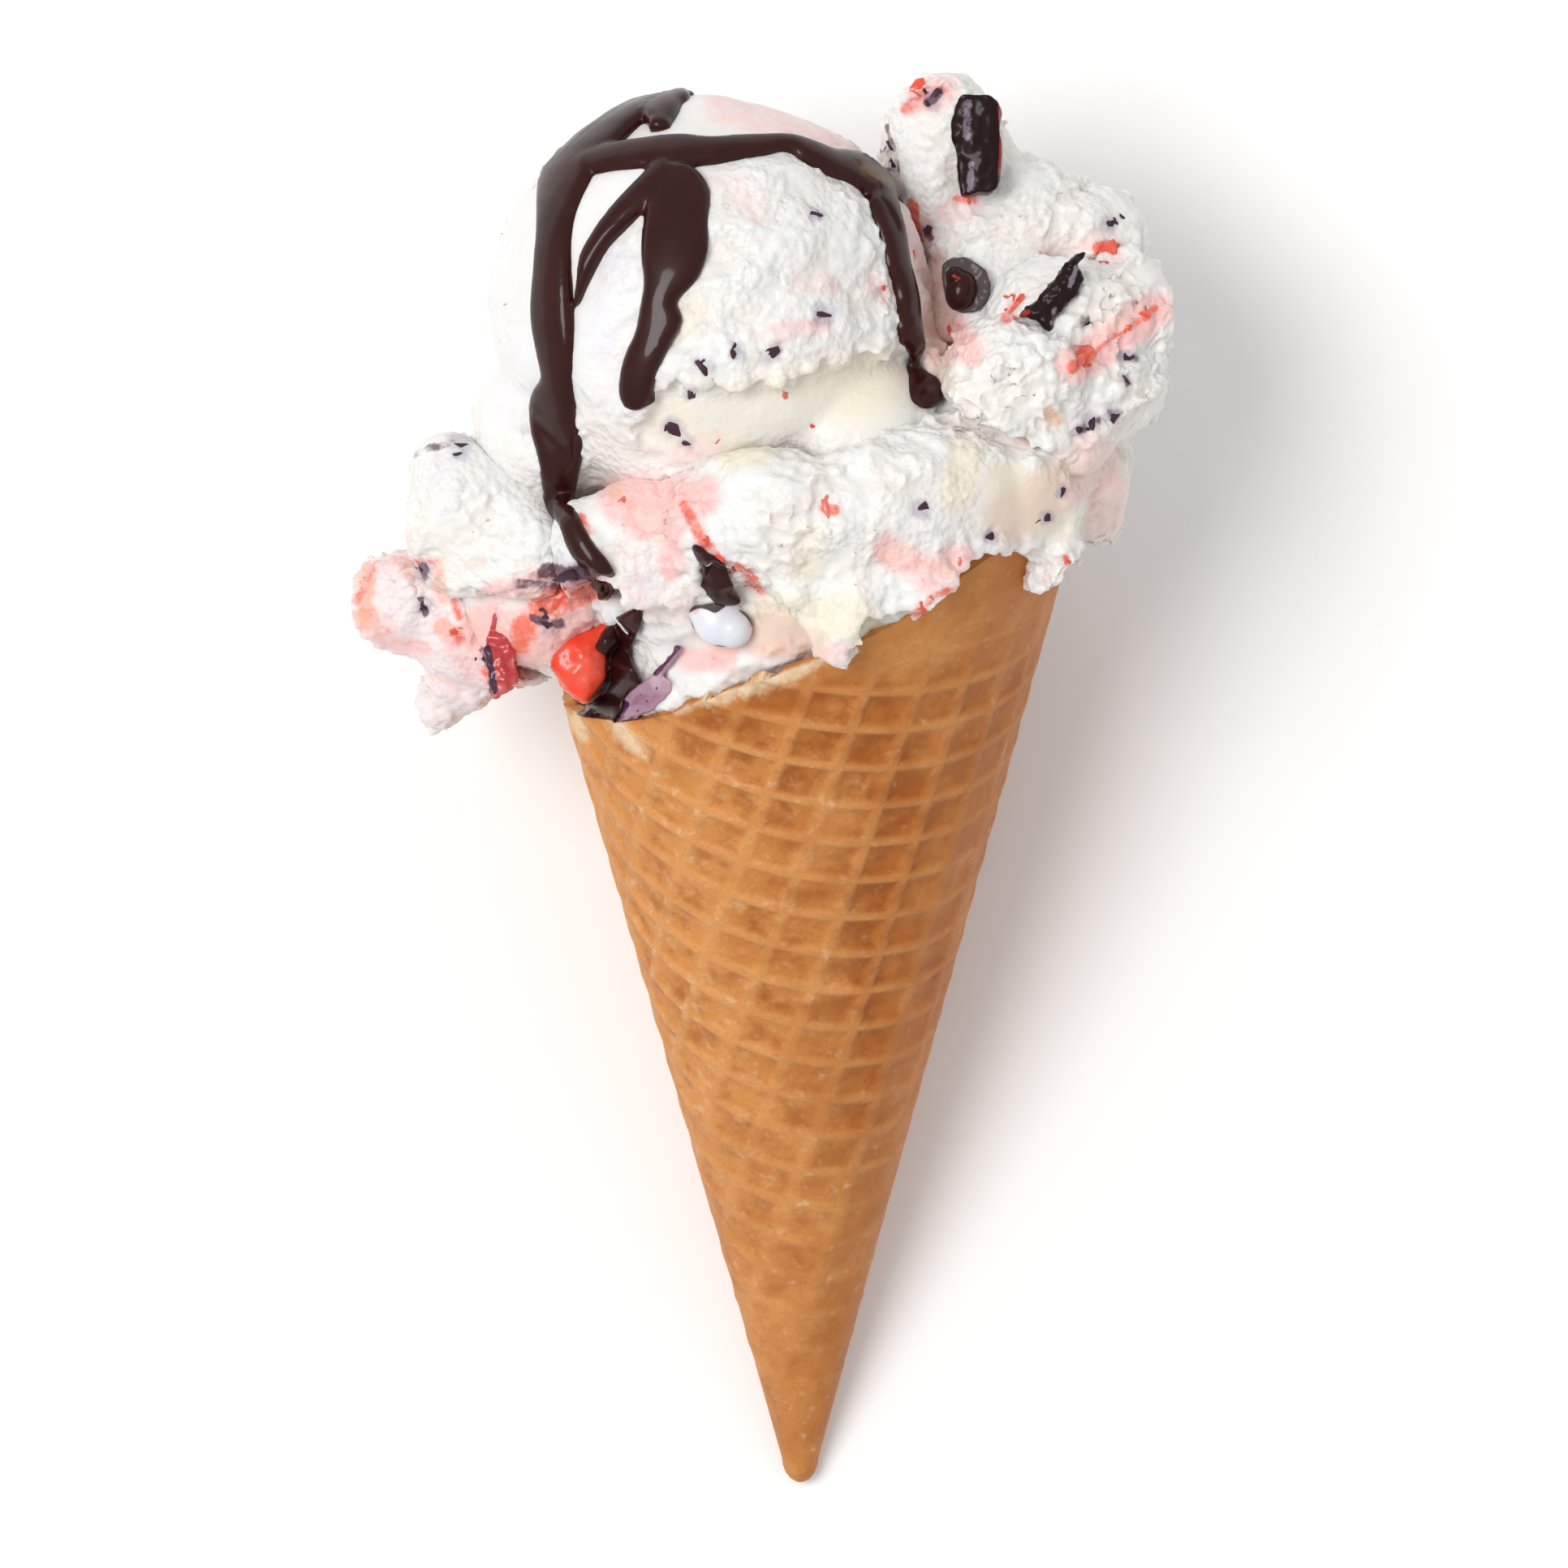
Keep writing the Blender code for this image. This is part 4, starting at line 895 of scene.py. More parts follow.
# Where the ice cream is torn: a line of pixels, its spread in pixels, the count and half sizes in mm
crumbs = {
    "seed": 31,
    "ice_cream_heap": [
        (collar["edge"][:10], 8, 90, (0.45, 1.0)), (collar["edge"][9:20], 9, 190, (0.5, 1.2)),
        (collar["edge"][18:], 9, 110, (0.5, 1.2)),
        ([(1008, 590), (1060, 560), (1119, 533), (1168, 511)], 9, 60, (0.4, 1.0)),
        ([(1168, 511), (1241, 505), (1310, 560)], 9, 50, (0.4, 1.0)),
        ([(1030, 800), (1060, 740)], 14, 50, (0.5, 1.0)),
        ([(900, 640), (1060, 690), (1180, 640)], 45, 130, (0.35, 0.8)),
        ([(1310, 560), (1319, 700)], 12, 50, (0.4, 1.0)), ([(820, 600), (860, 690)], 26, 50, (0.4, 0.8)),
        ([(770, 640), (830, 700)], 30, 70, (0.35, 0.8)), ([(880, 706), (905, 728)], 7, 14, (0.4, 0.8)),
        ([(850, 850), (990, 800)], 14, 60, (0.3, 0.7)), ([(1090, 600), (1230, 520)], 26, 60, (0.35, 0.8)),
    ],
    "ice_cream_scoop": [
        ([(828, 474), (850, 466), (905, 478), (950, 472), (1000, 454), (1057, 438), (1095, 430)],
         7, 130, (0.4, 1.0)),
        ([(860, 440), (1000, 410), (1085, 330)], 40, 150, (0.3, 0.7)),
        ([(1040, 235), (1085, 330), (1100, 400)], 18, 70, (0.4, 0.9)),
        ([(900, 260), (1030, 300)], 50, 90, (0.25, 0.6)),
        ([(1085, 420), (1150, 440), (1163, 400)], 14, 40, (0.4, 0.9)),
        ([(640, 560), (640, 480), (625, 380)], 12, 30, (0.3, 0.7)),
    ],
    "ice_cream_peak": [
        ([(1089, 140), (1148, 100), (1191, 120)], 7, 40, (0.4, 0.9)),
        ([(1240, 150), (1285, 194), (1306, 231)], 6, 40, (0.4, 0.9)),
        ([(1306, 231), (1363, 222), (1391, 235), (1412, 262)], 6, 70, (0.4, 1.1)),
        ([(1080, 181), (1100, 250)], 12, 40, (0.3, 0.8)),
        ([(1155, 303), (1182, 323)], 12, 30, (0.4, 0.9)),
        ([(1180, 270), (1350, 260)], 34, 90, (0.3, 0.8)),
    ],
    "ice_cream_ruffle": [
        ([(1395, 312), (1430, 316), (1443, 332), (1438, 360), (1436, 408)], 7, 90, (0.4, 1.1)),
        ([(1436, 408), (1426, 475), (1402, 500), (1340, 545)], 8, 90, (0.4, 1.1)),
        ([(1190, 440), (1215, 410), (1245, 400)], 10, 60, (0.4, 1.1)),
        ([(1175, 470), (1230, 520), (1300, 545)], 10, 80, (0.4, 1.1)),
        ([(1210, 460), (1290, 440), (1400, 340)], 45, 260, (0.3, 0.8)),
        ([(1300, 500), (1380, 450)], 34, 120, (0.3, 0.8)),
    ],
    "left_lobe": [
        ([(535, 560), (515, 620), (520, 680)], 10, 60, (0.3, 0.8)),
        ([(540, 720), (640, 715), (700, 690)], 12, 80, (0.4, 0.9)),
        ([(560, 600), (620, 660)], 34, 50, (0.3, 0.6)),
    ],
    "berry_ripple_lobe": [
        ([(450, 700), (437, 750), (470, 790)], 10, 60, (0.3, 0.8)),
        ([(500, 720), (600, 780), (680, 800)], 34, 140, (0.3, 0.8)),
        ([(520, 830), (560, 880)], 14, 40, (0.3, 0.7)),
    ],
    "unseen": 0.9,         # share of them added again on the sides that the photo doesn't show
    "hidden": (-0.1, 4 * mm),   # slant from which a side counts as that, and how high over the ground
    "lumpy": (0.35, 0.8),  # height and size of the one crumb's lumps, by its radius
    "wide": (0.6, 1),      # the copies' other two sizes, by the first
    "flat": (0.5, 0.9),
    "lift": 0.25,          # of their half size
    "soften": 2,
}
buried = {  # where the wafer and the ball hide the heap, in mm
    "cut": 116,            # height up to which it is left out, deep in the wafer
    "belowRim": 3,
    "insideWall": 1.2,
    "insideBall": 1.5,
    "kept": 0.12,          # share of the faces that is kept there
}
crags = {  # the forms of the torn surface: size and height in mm, and what else is named
    "warp": (4, 1.6),
    "drag": 0.5,                # share by which the spoon's drag draws them out
    "patches": (10, 2.2, 0.6),  # size, contrast and middle of the rougher patches
    "broad": (9, 0.9),
    "ledges": (4.4, 1.3, 3.2),  # and how many to one rise
    "puffs": (2.4, 0.7, 0.2),   # and how far they start below the surface
    "grains": (1.7, 0.75),
    "calm": (0.4, 0.25),        # share of the ledges, and of puffs and grains, between the patches
    "smooth": (0.1, 0.4),       # share of all of it on smooth skin, and how far from its line that ends
    "hollow": 0.3,              # height from which a place gets no painted shade
}

# Stains by colour, with painted shade in the warm and cool ones and in a few lines marked below: a line of
# pixels, its reach in pixels and its strength
stainsAndShade = {
    "pink": [
        ([(890, 130), (960, 145), (1055, 190)], 34, 0.6), ([(890, 215), (935, 262)], 34, 0.4),
        ([(1125, 285), (1150, 340), (1162, 430)], 34, 0.65), ([(985, 348), (1025, 352)], 20, 0.5),
        ([(1080, 350), (1095, 362)], 18, 0.6), ([(945, 412), (1010, 402)], 20, 0.55),
        ([(800, 640), (764, 614), (860, 612)], 40, 1.0), ([(826, 640), (828, 700)], 26, 0.9),
        ([(770, 690), (790, 740), (850, 740)], 44, 0.45),
        ([(1098, 680), (1150, 712), (1182, 690)], 30, 0.8), ([(850, 812), (895, 812)], 24, 0.8),
        ([(870, 780), (985, 795)], 36, 0.4), ([(1017, 806), (1057, 806)], 18, 0.5),
        ([(610, 728), (690, 715)], 22, 0.8), ([(1320, 605), (1376, 603)], 22, 0.5),
        # The pink line from (1175, 405) to (1190, 430) is a painted shadow under the bead.
        ([(1350, 560), (1370, 640)], 44, 0.5), ([(1175, 405), (1190, 430)], 30, 0.9),
        ([(1030, 560), (975, 610), (1045, 640)], 22, 0.25), ([(840, 560), (880, 545)], 24, 0.5),
        ([(445, 760), (470, 785), (520, 800)], 16, 0.8), ([(600, 780), (640, 800), (690, 760)], 46, 1.3),
        ([(520, 830), (560, 850)], 30, 0.35), ([(500, 665), (480, 690)], 26, 0.5),
        ([(560, 800), (580, 830)], 26, 0.6), ([(1135, 120), (1160, 110)], 30, 0.8),
        ([(1200, 250), (1160, 265)], 22, 0.5),
        ([(1322, 450), (1352, 433), (1400, 398), (1425, 380)], 32, 0.95),
        ([(1345, 300), (1375, 310)], 22, 0.5),
    ],
    "salmon": [
        ([(452, 705), (446, 735), (452, 765)], 20, 0.85), ([(495, 690), (500, 706)], 15, 0.7),
        ([(535, 698), (544, 735)], 14, 0.7), ([(545, 772), (560, 784)], 17, 0.95),
        ([(575, 700), (590, 690)], 14, 0.4), ([(760, 612), (775, 620)], 16, 0.6),
        ([(640, 700), (690, 712)], 16, 0.5), ([(1085, 690), (1160, 700)], 16, 0.4),
        ([(870, 815), (960, 800)], 16, 0.4), ([(610, 845), (630, 850)], 12, 0.8),
        ([(960, 520), (1040, 500)], 30, 0.15), ([(1296, 511), (1300, 516)], 14, 0.7),
        # The salmon line at (1183, 415) is a painted shadow under the bead.
        ([(1183, 415), (1190, 422)], 18, 0.5),
    ],
    "red": [
        ([(843, 622), (864, 662), (885, 688), (916, 705), (936, 730)], 12, 0.9),
        ([(1019, 626), (1028, 628)], 12, 1.0), ([(1123, 250), (1130, 275), (1134, 295)], 9, 1.0),
        ([(1118, 135), (1140, 112), (1160, 108)], 13, 0.8), ([(1322, 452), (1345, 436)], 13, 1.1),
        ([(1352, 433), (1400, 398), (1424, 378)], 7, 0.8), ([(1356, 306), (1370, 308)], 14, 1.2),
        ([(1240, 392), (1256, 366)], 11, 0.85), ([(1140, 270), (1146, 292)], 10, 0.7),
        ([(1188, 722), (1150, 737), (1127, 756)], 9, 0.8),
        ([(640, 790), (655, 760), (690, 738), (728, 722)], 28, 0.95), ([(612, 800), (640, 840)], 18, 0.9),
        ([(560, 742), (566, 760)], 9, 0.9), ([(438, 742), (446, 722)], 9, 0.8),
        ([(490, 690), (530, 694)], 9, 0.8), ([(455, 713), (462, 700)], 16, 0.6),
        ([(468, 765), (480, 775)], 16, 0.6), ([(555, 775), (562, 790)], 18, 0.7),
        ([(492, 690), (496, 705)], 14, 0.5), ([(600, 830), (625, 850)], 18, 0.8),
        ([(1172, 684), (1180, 690)], 12, 0.55), ([(868, 812), (880, 814)], 10, 0.5),
        ([(1313, 690), (1317, 698)], 8, 0.9), ([(826, 655), (828, 680)], 9, 0.45),
        ([(1180, 246), (1200, 246)], 9, 0.7), ([(715, 640), (726, 655)], 10, 0.8),
    ],
    "juice": [
        ([(520, 696), (524, 712)], 8, 0.9), ([(519, 740), (524, 756)], 8, 0.9),
        ([(672, 705), (732, 705)], 16, 1.0), ([(1140, 125), (1158, 112)], 8, 0.8),
        ([(1092, 155), (1100, 185), (1103, 211)], 6, 0.8),
        ([(1322, 534), (1350, 520), (1387, 506)], 11, 0.6), ([(1142, 280), (1148, 294)], 7, 0.8),
        ([(655, 762), (690, 768)], 11, 0.9), ([(594, 800), (604, 815)], 9, 0.8),
        ([(640, 718), (690, 728)], 10, 0.8), ([(1400, 440), (1380, 500), (1350, 520)], 8, 0.6),
        ([(514, 560), (556, 548)], 10, 0.7),
    ],
    # painted shade: a warm darker tint on the shaded face at the right, under the collar and in other shaded
    # places
    "warmShade": [
        ([(1245, 640), (1280, 620), (1312, 590)], 46, 1.0), ([(1350, 560), (1370, 640)], 60, 0.6),
        ([(880, 775), (985, 790)], 32, 1.0), ([(950, 770), (1000, 800)], 32, 1.1),
        ([(1150, 420), (1160, 470)], 26, 0.8), ([(1110, 470), (1140, 455)], 22, 0.5),
        ([(1200, 600), (1240, 580)], 20, 0.25),
    ],
    # painted shade: a cool lilac tint on parts in shade, most of all at the left of the ball
    "coolShade": [
        ([(650, 300), (655, 420), (640, 500)], 60, 0.4), ([(760, 320), (740, 420)], 44, 0.45),
        ([(560, 560), (545, 620)], 40, 0.4), ([(1270, 320), (1340, 350)], 40, 0.3),
        ([(1150, 200), (1140, 300)], 40, 0.3), ([(985, 300), (960, 370)], 40, 0.25),
        ([(700, 560), (640, 590)], 30, 0.4), ([(790, 720), (760, 760)], 30, 0.4),
    ],
    "butter": [
        ([(840, 520), (980, 500), (1090, 470)], 60, 0.5), ([(1180, 611), (1192, 552)], 26, 0.7),
        ([(902, 562), (940, 560)], 24, 0.7), ([(1241, 600), (1310, 640)], 44, 0.5),
        ([(1296, 511), (1300, 516)], 16, 0.9), ([(990, 700), (1000, 660)], 30, 0.4),
        # The butter line at (1149, 330) to (1150, 400), right of the right strand, is a painted shadow.
        ([(840, 400), (850, 380)], 30, 0.4), ([(1149, 330), (1150, 400)], 30, 0.5),
        ([(1100, 800), (1040, 760), (940, 760)], 34, 0.6),
    ],
}
flecks = {  # pixels across and down, and size in pixels
    "dark": [(1005, 263, 9), (1014, 385, 12), (867, 452, 10), (906, 433, 10), (949, 437, 12), (830, 526, 13),
             (845, 545, 9), (849, 482, 8), (1368, 275, 9), (1387, 467, 8), (1370, 274, 7), (1135, 627, 10),
             (1288, 637, 8), (1308, 607, 7), (1221, 662, 8), (1142, 281, 8), (1345, 520, 10), (1370, 512, 9),
             (520, 703, 9), (520, 748, 9), (565, 548, 14), (700, 710, 20), (724, 704, 14), (672, 768, 10),
             (1393, 440, 8), (1330, 530, 7), (598, 812, 8), (1150, 118, 12), (1096, 180, 7), (1100, 200, 6)],
    "red": [(966, 487, 5), (884, 545, 5), (1001, 526, 4), (1019, 627, 10), (1315, 693, 7), (1126, 262, 8),
            (1130, 284, 9), (1362, 307, 14), (1246, 385, 13), (1256, 372, 11), (1130, 108, 12), (868, 665, 9),
            (885, 690, 9), (905, 702, 8), (930, 722, 8), (1150, 738, 8), (1136, 748, 7), (1330, 446, 10),
            (1410, 385, 9), (1388, 402, 8), (695, 735, 18), (715, 725, 12), (562, 780, 9), (765, 614, 7),
            (1195, 247, 9), (1184, 690, 6), (1090, 354, 5), (1170, 408, 6)],
    "seed": 23,
    "together": (1, 3),     # chips in a place, the first one larger, and how far the rest lie from it
    "apart": 0.8,
    "larger": 1.6,
    "smaller": 0.7,
    "unseen": 70,           # tries on the sides that the photo doesn't show, and sizes there in pixels
    "sizes": (4, 11),
    "hidden": (0.1, 3 * mm),    # slant up to which a side counts as that, and how high over the ground
    "sides": ((0.9, 1.5), (0.6, 1.1), (0.3, 0.5)),  # of a chip, by its size
    "cuts": 6,
    "cutReach": (0.22, 0.42),
    "tilt": 0.5,
    "bevel": 0.04,
    "sunk": 0.1,
    "crease": radians(40),
}
stainsAndShade["smudge"] = [([(across, down)], size * 1.9, 0.85) for across, down, size in flecks["dark"]]
smoothSkin = [  # lines of pixels with a reach, where a spoon left the surface smooth
    ([(640, 420), (660, 220), (760, 150)], 120), ([(840, 530), (1000, 505), (1120, 480)], 40),
    ([(1241, 610), (1310, 640)], 40), ([(860, 810), (1000, 780)], 40),
    ([(1000, 120), (900, 110), (820, 200)], 60),
]
unseenStainsAndShade = {
    "seed": 11, "length": 9, "reach": (1.6, 4.5), "thin": 0.4, "strength": (0.35, 0.85),   # mm
    "ragged": (2.6, 2.2),    # size of the unevenness of their edges and how far it reaches, in mm
    "behind": 0.05,          # slant from which a place counts as unseen
    "turn": (4, 0.2),        # how sharply and where the shown stains give way to them
    # the warm and cool ones drawn here are painted shade
    "count": {"pink": 12, "salmon": 6, "red": 7, "juice": 5, "warmShade": 3, "butter": 4, "coolShade": 2, "smudge": 8},
}


def paintStainsAndShade(obj, points, pixels, shown):
    # Stains where the photo shows them, and drawn ones on the sides that it doesn't show
    # The warm and cool marks, shown and drawn, are painted shade, as are a few of the pink, salmon and butter
    # lines.
    draw = random.Random(unseenStainsAndShade["seed"] + len(points))
    hidden = np.flatnonzero(shown < unseenStainsAndShade["behind"])
    size, waver = unseenStainsAndShade["ragged"]
    wavy = noiseAt(points, size * mm, 3)
    ragged = wavy * waver * mm
    sharp, start = unseenStainsAndShade["turn"]
    front = ease(shown * sharp + wavy + start)
    for colour, routes in stainsAndShade.items():
        value = np.zeros(len(points))
        for route, reach, strength in routes:
            value = np.maximum(value, strength * within(distanceTo(pixels, route), reach) * front)
        for n in range(unseenStainsAndShade["count"][colour]):
            if len(hidden) == 0:
                continue
            first = points[hidden[draw.randrange(len(hidden))]]
            second = first + np.array([draw.uniform(-1, 1) for _ in range(3)]) * unseenStainsAndShade["length"] * mm
            reach = draw.uniform(*unseenStainsAndShade["reach"]) * mm
            if colour in ("red", "juice", "smudge"):
                reach *= unseenStainsAndShade["thin"]
            run = second - first
            share = np.clip(((points - first) @ run) / (run @ run), 0, 1)
            far = np.linalg.norm(points - first - share[:, None] * run, axis=1)
            strength = draw.uniform(*unseenStainsAndShade["strength"])
            value = np.maximum(value, strength * within(far + ragged, reach) * (1 - front))
        setAttribute(obj, colour, value)


def roundTheCone(points):
    # The points in the cone's frame, their angles and radii there and how far they are above the rim
    standing = np.array(lieDown.inverted())
    local = points @ standing[:3, :3].T + standing[:3, 3]
    angle = np.arctan2(local[:, 0], -local[:, 1])
    turns = np.linspace(-pi, pi, waffle["rimPlaces"])
    aboveRim = local[:, 2] - np.interp(angle, turns, [rimHeight(turn) for turn in turns])
    return local, angle, np.hypot(local[:, 0], local[:, 1]), aboveRim


def trimUnderCollar(points, pixels):
    # Below the collar's edge the ice cream is only a neck inside the wafer's outer face
    local, angle, radius, aboveRim = roundTheCone(points)
    frayEnd, frayTurn = collar["frayEnd"]
    fray = frayAt(points, collar["fray"]) * ease((frayEnd - np.abs(angle)) / frayTurn)[:, None]
    reach, reachTurn = collar["reach"]
    under = underLine(pixels, collar["edge"], collar["soft"], fray)
    under *= ease((reach - np.abs(angle)) / reachTurn)
    undercut, start, rise = collar["undercut"]
    inset = collar["inset"] * mm + undercut * mm * ease((aboveRim - start * mm) / (rise * mm))
    limit = local[:, 2] * tan(waffle["halfAngle"]) - inset
    wanted = np.where(radius > limit, radius + (limit - radius) * under, radius)
    local[:, :2] *= (wanted / np.maximum(radius, 1 * mm))[:, None]
    lying = np.array(lieDown)
    return local @ lying[:3, :3].T + lying[:3, 3]


def terrace(values, steps, level=0.55):
    # Turns a smooth rise into ledges with short steep steps
    scaled = values * steps
    low = np.floor(scaled)
    return (low + ease((scaled - low - level) / (1 - level))) / steps


def grainsAt(points, size):
    # Rounded grains with creases between them
    return np.array([0.5 - noise.voronoi(Vector(p))[0][0] for p in points / size])


def roughenCream(points, normals, pixels, shown, depth, drag):
    # Pushes the surface in and out: ledges, puffs, crumbs and grains, less on the smooth skin
    rough = np.ones(len(points))
    least, start = crags["smooth"]
    for route, reach in smoothSkin:
        outside = np.maximum(ease(distanceTo(pixels, route) / reach - start), shown < 0)
        rough = np.minimum(rough, least + (1 - least) * outside)
    axes = np.array(camera.matrix_world.to_3x3())
    along = axes[:, 0] * cos(radians(drag)) + axes[:, 1] * sin(radians(drag))
    size, far = crags["warp"]
    warp = np.stack([noiseAt(points, size * mm, shift) for shift in (11, 17, 23)], 1) * far * mm
    drawn = points + warp
    drawn -= crags["drag"] * (drawn @ along)[:, None] * along
    size, contrast, middle = crags["patches"]
    patches = ease(noiseAt(points, size * mm, 51) * contrast + middle)
    size, rise = crags["broad"]
    broad = noiseAt(points, size * mm) * rise * mm
    size, rise, steps = crags["ledges"]
    ledges = terrace(noiseAt(drawn, size * mm, 31), steps) * rise * mm
    size, rise, sunk = crags["puffs"]
    puffs = (np.abs(noiseAt(drawn, size * mm, 5)) - sunk) * rise * mm
    size, rise = crags["grains"]
    grains = grainsAt(points + warp, size * mm) * rise * mm
    ledgesLeft, grainsLeft = crags["calm"]
    ledges = ledges * (ledgesLeft + (1 - ledgesLeft) * patches)
    grains = (puffs + grains) * (grainsLeft + (1 - grainsLeft) * patches)
    height = broad + (ledges + grains) * rough * depth
    return points + normals * height[:, None], height / mm, rough


def strewCrumbs(obj, node, crumb):
    # Turned copies of one crumb, half sunk in the torn places and on the unseen sides
    draw = random.Random(crumbs["seed"] + len(node))
    tree = surfaceOf(obj)
    seats = []
    for line, spread, count, sizes in crumbs[node]:
        lengths = [hypot(b[0] - a[0], b[1] - a[1]) for a, b in zip(line, line[1:])]
        for _ in range(count):
            n = draw.choices(range(len(lengths)), lengths)[0]
            share = draw.random()
            ends = zip(line[n], line[n + 1])
            across, down = (a + (b - a) * share + draw.gauss(0, spread / 2) for a, b in ends)
            place, normal = seat([tree], across, down)
            if place:
                seats.append((place, normal, draw.uniform(*sizes)))
    slant, clear = crumbs["hidden"]
    hidden = [vertex for vertex in obj.data.vertices
              if vertex.normal.dot(facing) < slant and vertex.co.z > clear]
    for place, normal, size in list(seats):
        if hidden and draw.random() < crumbs["unseen"]:
            vertex = hidden[draw.randrange(len(hidden))]
            seats.append((vertex.co.copy(), vertex.normal.copy(), size))
    copies = []
    for place, normal, size in seats:
        copy = crumb.copy()
        copy.data = crumb.data.copy()
        bpy.context.scene.collection.objects.link(copy)
        spin = Matrix.Rotation(draw.uniform(0, 2 * pi), 4, Vector([draw.uniform(-1, 1) for _ in range(3)]))
        wide = size * draw.uniform(*crumbs["wide"])
        flat = size * draw.uniform(*crumbs["flat"])
        stretch = Matrix.Diagonal((size * mm, wide * mm, flat * mm, 1))
        move = Matrix.Translation(place + normal * size * crumbs["lift"] * mm)
        copy.data.transform(move @ spin @ stretch)
        copies.append(copy)
    return joinAll([obj] + copies, obj.name)


def thinHidden(obj):
    # Fewer faces where the ball and the wafer hide the heap
    local, angle, radius, aboveRim = roundTheCone(pointsOf(obj))
    wall = local[:, 2] * tan(waffle["halfAngle"]) - buried["insideWall"] * mm
    hidden = (aboveRim < -buried["belowRim"] * mm) & (radius < wall)
    inside = buried["insideBall"]
    for across, up, front, halfAcross, halfUp, halfFront in ball["lumps"]:
        halves = (halfAcross - inside, halfFront - inside, halfUp - inside)
        far = (local / mm - (across, -front, up)) / halves
        hidden |= (far ** 2).sum(axis=1) < 1
    for name in ("edges", "polygons"):
        getattr(obj.data, name).foreach_set("select", np.zeros(len(getattr(obj.data, name)), bool))
    obj.data.vertices.foreach_set("select", hidden)
    pick(obj)
    bpy.ops.object.mode_set(mode="EDIT")
    bpy.ops.mesh.select_mode(type="VERT")
    bpy.ops.mesh.decimate(ratio=buried["kept"])
    bpy.ops.object.mode_set(mode="OBJECT")


def largestPart(obj):
    # Deletes the scraps that a trim leaves loose
    pick(obj)
    bpy.ops.object.mode_set(mode="EDIT")
    bpy.ops.mesh.select_all(action="SELECT")
    bpy.ops.mesh.separate(type="LOOSE")
    bpy.ops.object.mode_set(mode="OBJECT")
    parts = sorted(bpy.context.selected_objects, key=lambda part: len(part.data.vertices))
    for scrap in parts[:-1]:
        bpy.data.objects.remove(scrap)
    return parts[-1]


def tearFringe(points, pixels, normals):
    # The ball's torn front stands over the scraped band under it
    over = 1 - underLine(pixels, ball["fringe"], ball["soft"], frayAt(points, ball["fray"]))
    near = ease(1 - distanceTo(pixels, ball["fringe"]) / ball["near"]) * (normals @ np.array(facing) > 0)
    return points + normals * ((over - 0.5) * near * ball["fringeStep"] * mm)[:, None]


def makeBody(node, sizes):
    name = node + "_soft"
    if node == "ice_cream_scoop":
        obj = joinAll([addLump(*lump) for lump in ball["lumps"]], name)
    else:
        obj = copyOfNode(node, name)
    if node == "ice_cream_heap":
        pick(obj)
        bpy.ops.object.mode_set(mode="EDIT")
        bpy.ops.mesh.select_all(action="SELECT")
        bpy.ops.mesh.bisect(plane_co=lieDown @ Vector((0, 0, buried["cut"] * mm)),
                            plane_no=lieDown.to_3x3().col[2], use_fill=True, clear_inner=True)
        bpy.ops.object.mode_set(mode="OBJECT")
    applyModifier(obj, "REMESH", mode="VOXEL", voxel_size=sizes["grid"] * mm)
    applyModifier(obj, "SMOOTH", factor=0.5, iterations=sizes["soften"])
    normals = normalsOf(obj)
    points = pointsOf(obj) + normals * sizes["grow"] * mm
    pixels = pixelsOf(points)
    if node == "ice_cream_heap":
        points = trimUnderCollar(points, pixels)
    if node == "ice_cream_scoop":
        points = tearFringe(points, pixels, normals)
    movePoints(obj, points)
    smoothTrees[node] = surfaceOf(obj)
    obj = strewCrumbs(obj, node, crumb)
    applyModifier(obj, "REMESH", mode="VOXEL", voxel_size=sizes["grid"] * mm)
    applyModifier(obj, "SMOOTH", factor=0.5, iterations=crumbs["soften"])
    obj = largestPart(obj)
    obj.name = name
    if node == "ice_cream_heap":
        thinHidden(obj)
    points = pointsOf(obj)
    normals = normalsOf(obj)
    pixels = pixelsOf(points)
    shown = normals @ np.array(facing)
    points, height, torn = roughenCream(points, normals, pixels, shown, sizes["crags"], sizes["drag"])
    movePoints(obj, np.clip(points, np.array(cadBox[0]) + margin, np.array(cadBox[1]) - margin))
    paintStainsAndShade(obj, points, pixels, normalsOf(obj) @ np.array(facing))
    # painted shade: the low places of the crags get the hollow colour
    setAttribute(obj, "hollow", ease(crags["hollow"] - height))
    setAttribute(obj, "torn", torn)
    pick(obj)
    bpy.ops.object.shade_smooth()
    if node == "berry_ripple_lobe":
        return done(obj, [node], rippleMaterial)
    return done(obj, [node], creamMaterial)


bpy.ops.mesh.primitive_ico_sphere_add(subdivisions=2, radius=1)
crumb = bpy.context.object
crumbPoints = pointsOf(crumb)
lumpHeight, lumpSize = crumbs["lumpy"]
movePoints(crumb, crumbPoints * (1 + lumpHeight * noiseAt(crumbPoints, lumpSize))[:, None])
soft = {}
smoothTrees = {}
for node, sizes in bodies.items():
    soft[node] = makeBody(node, sizes)
bpy.data.objects.remove(crumb)
softTrees = {node: surfaceOf(obj) for node, obj in soft.items()}


# Drizzle: strips of melted chocolate laid on the ball along lines of the photo

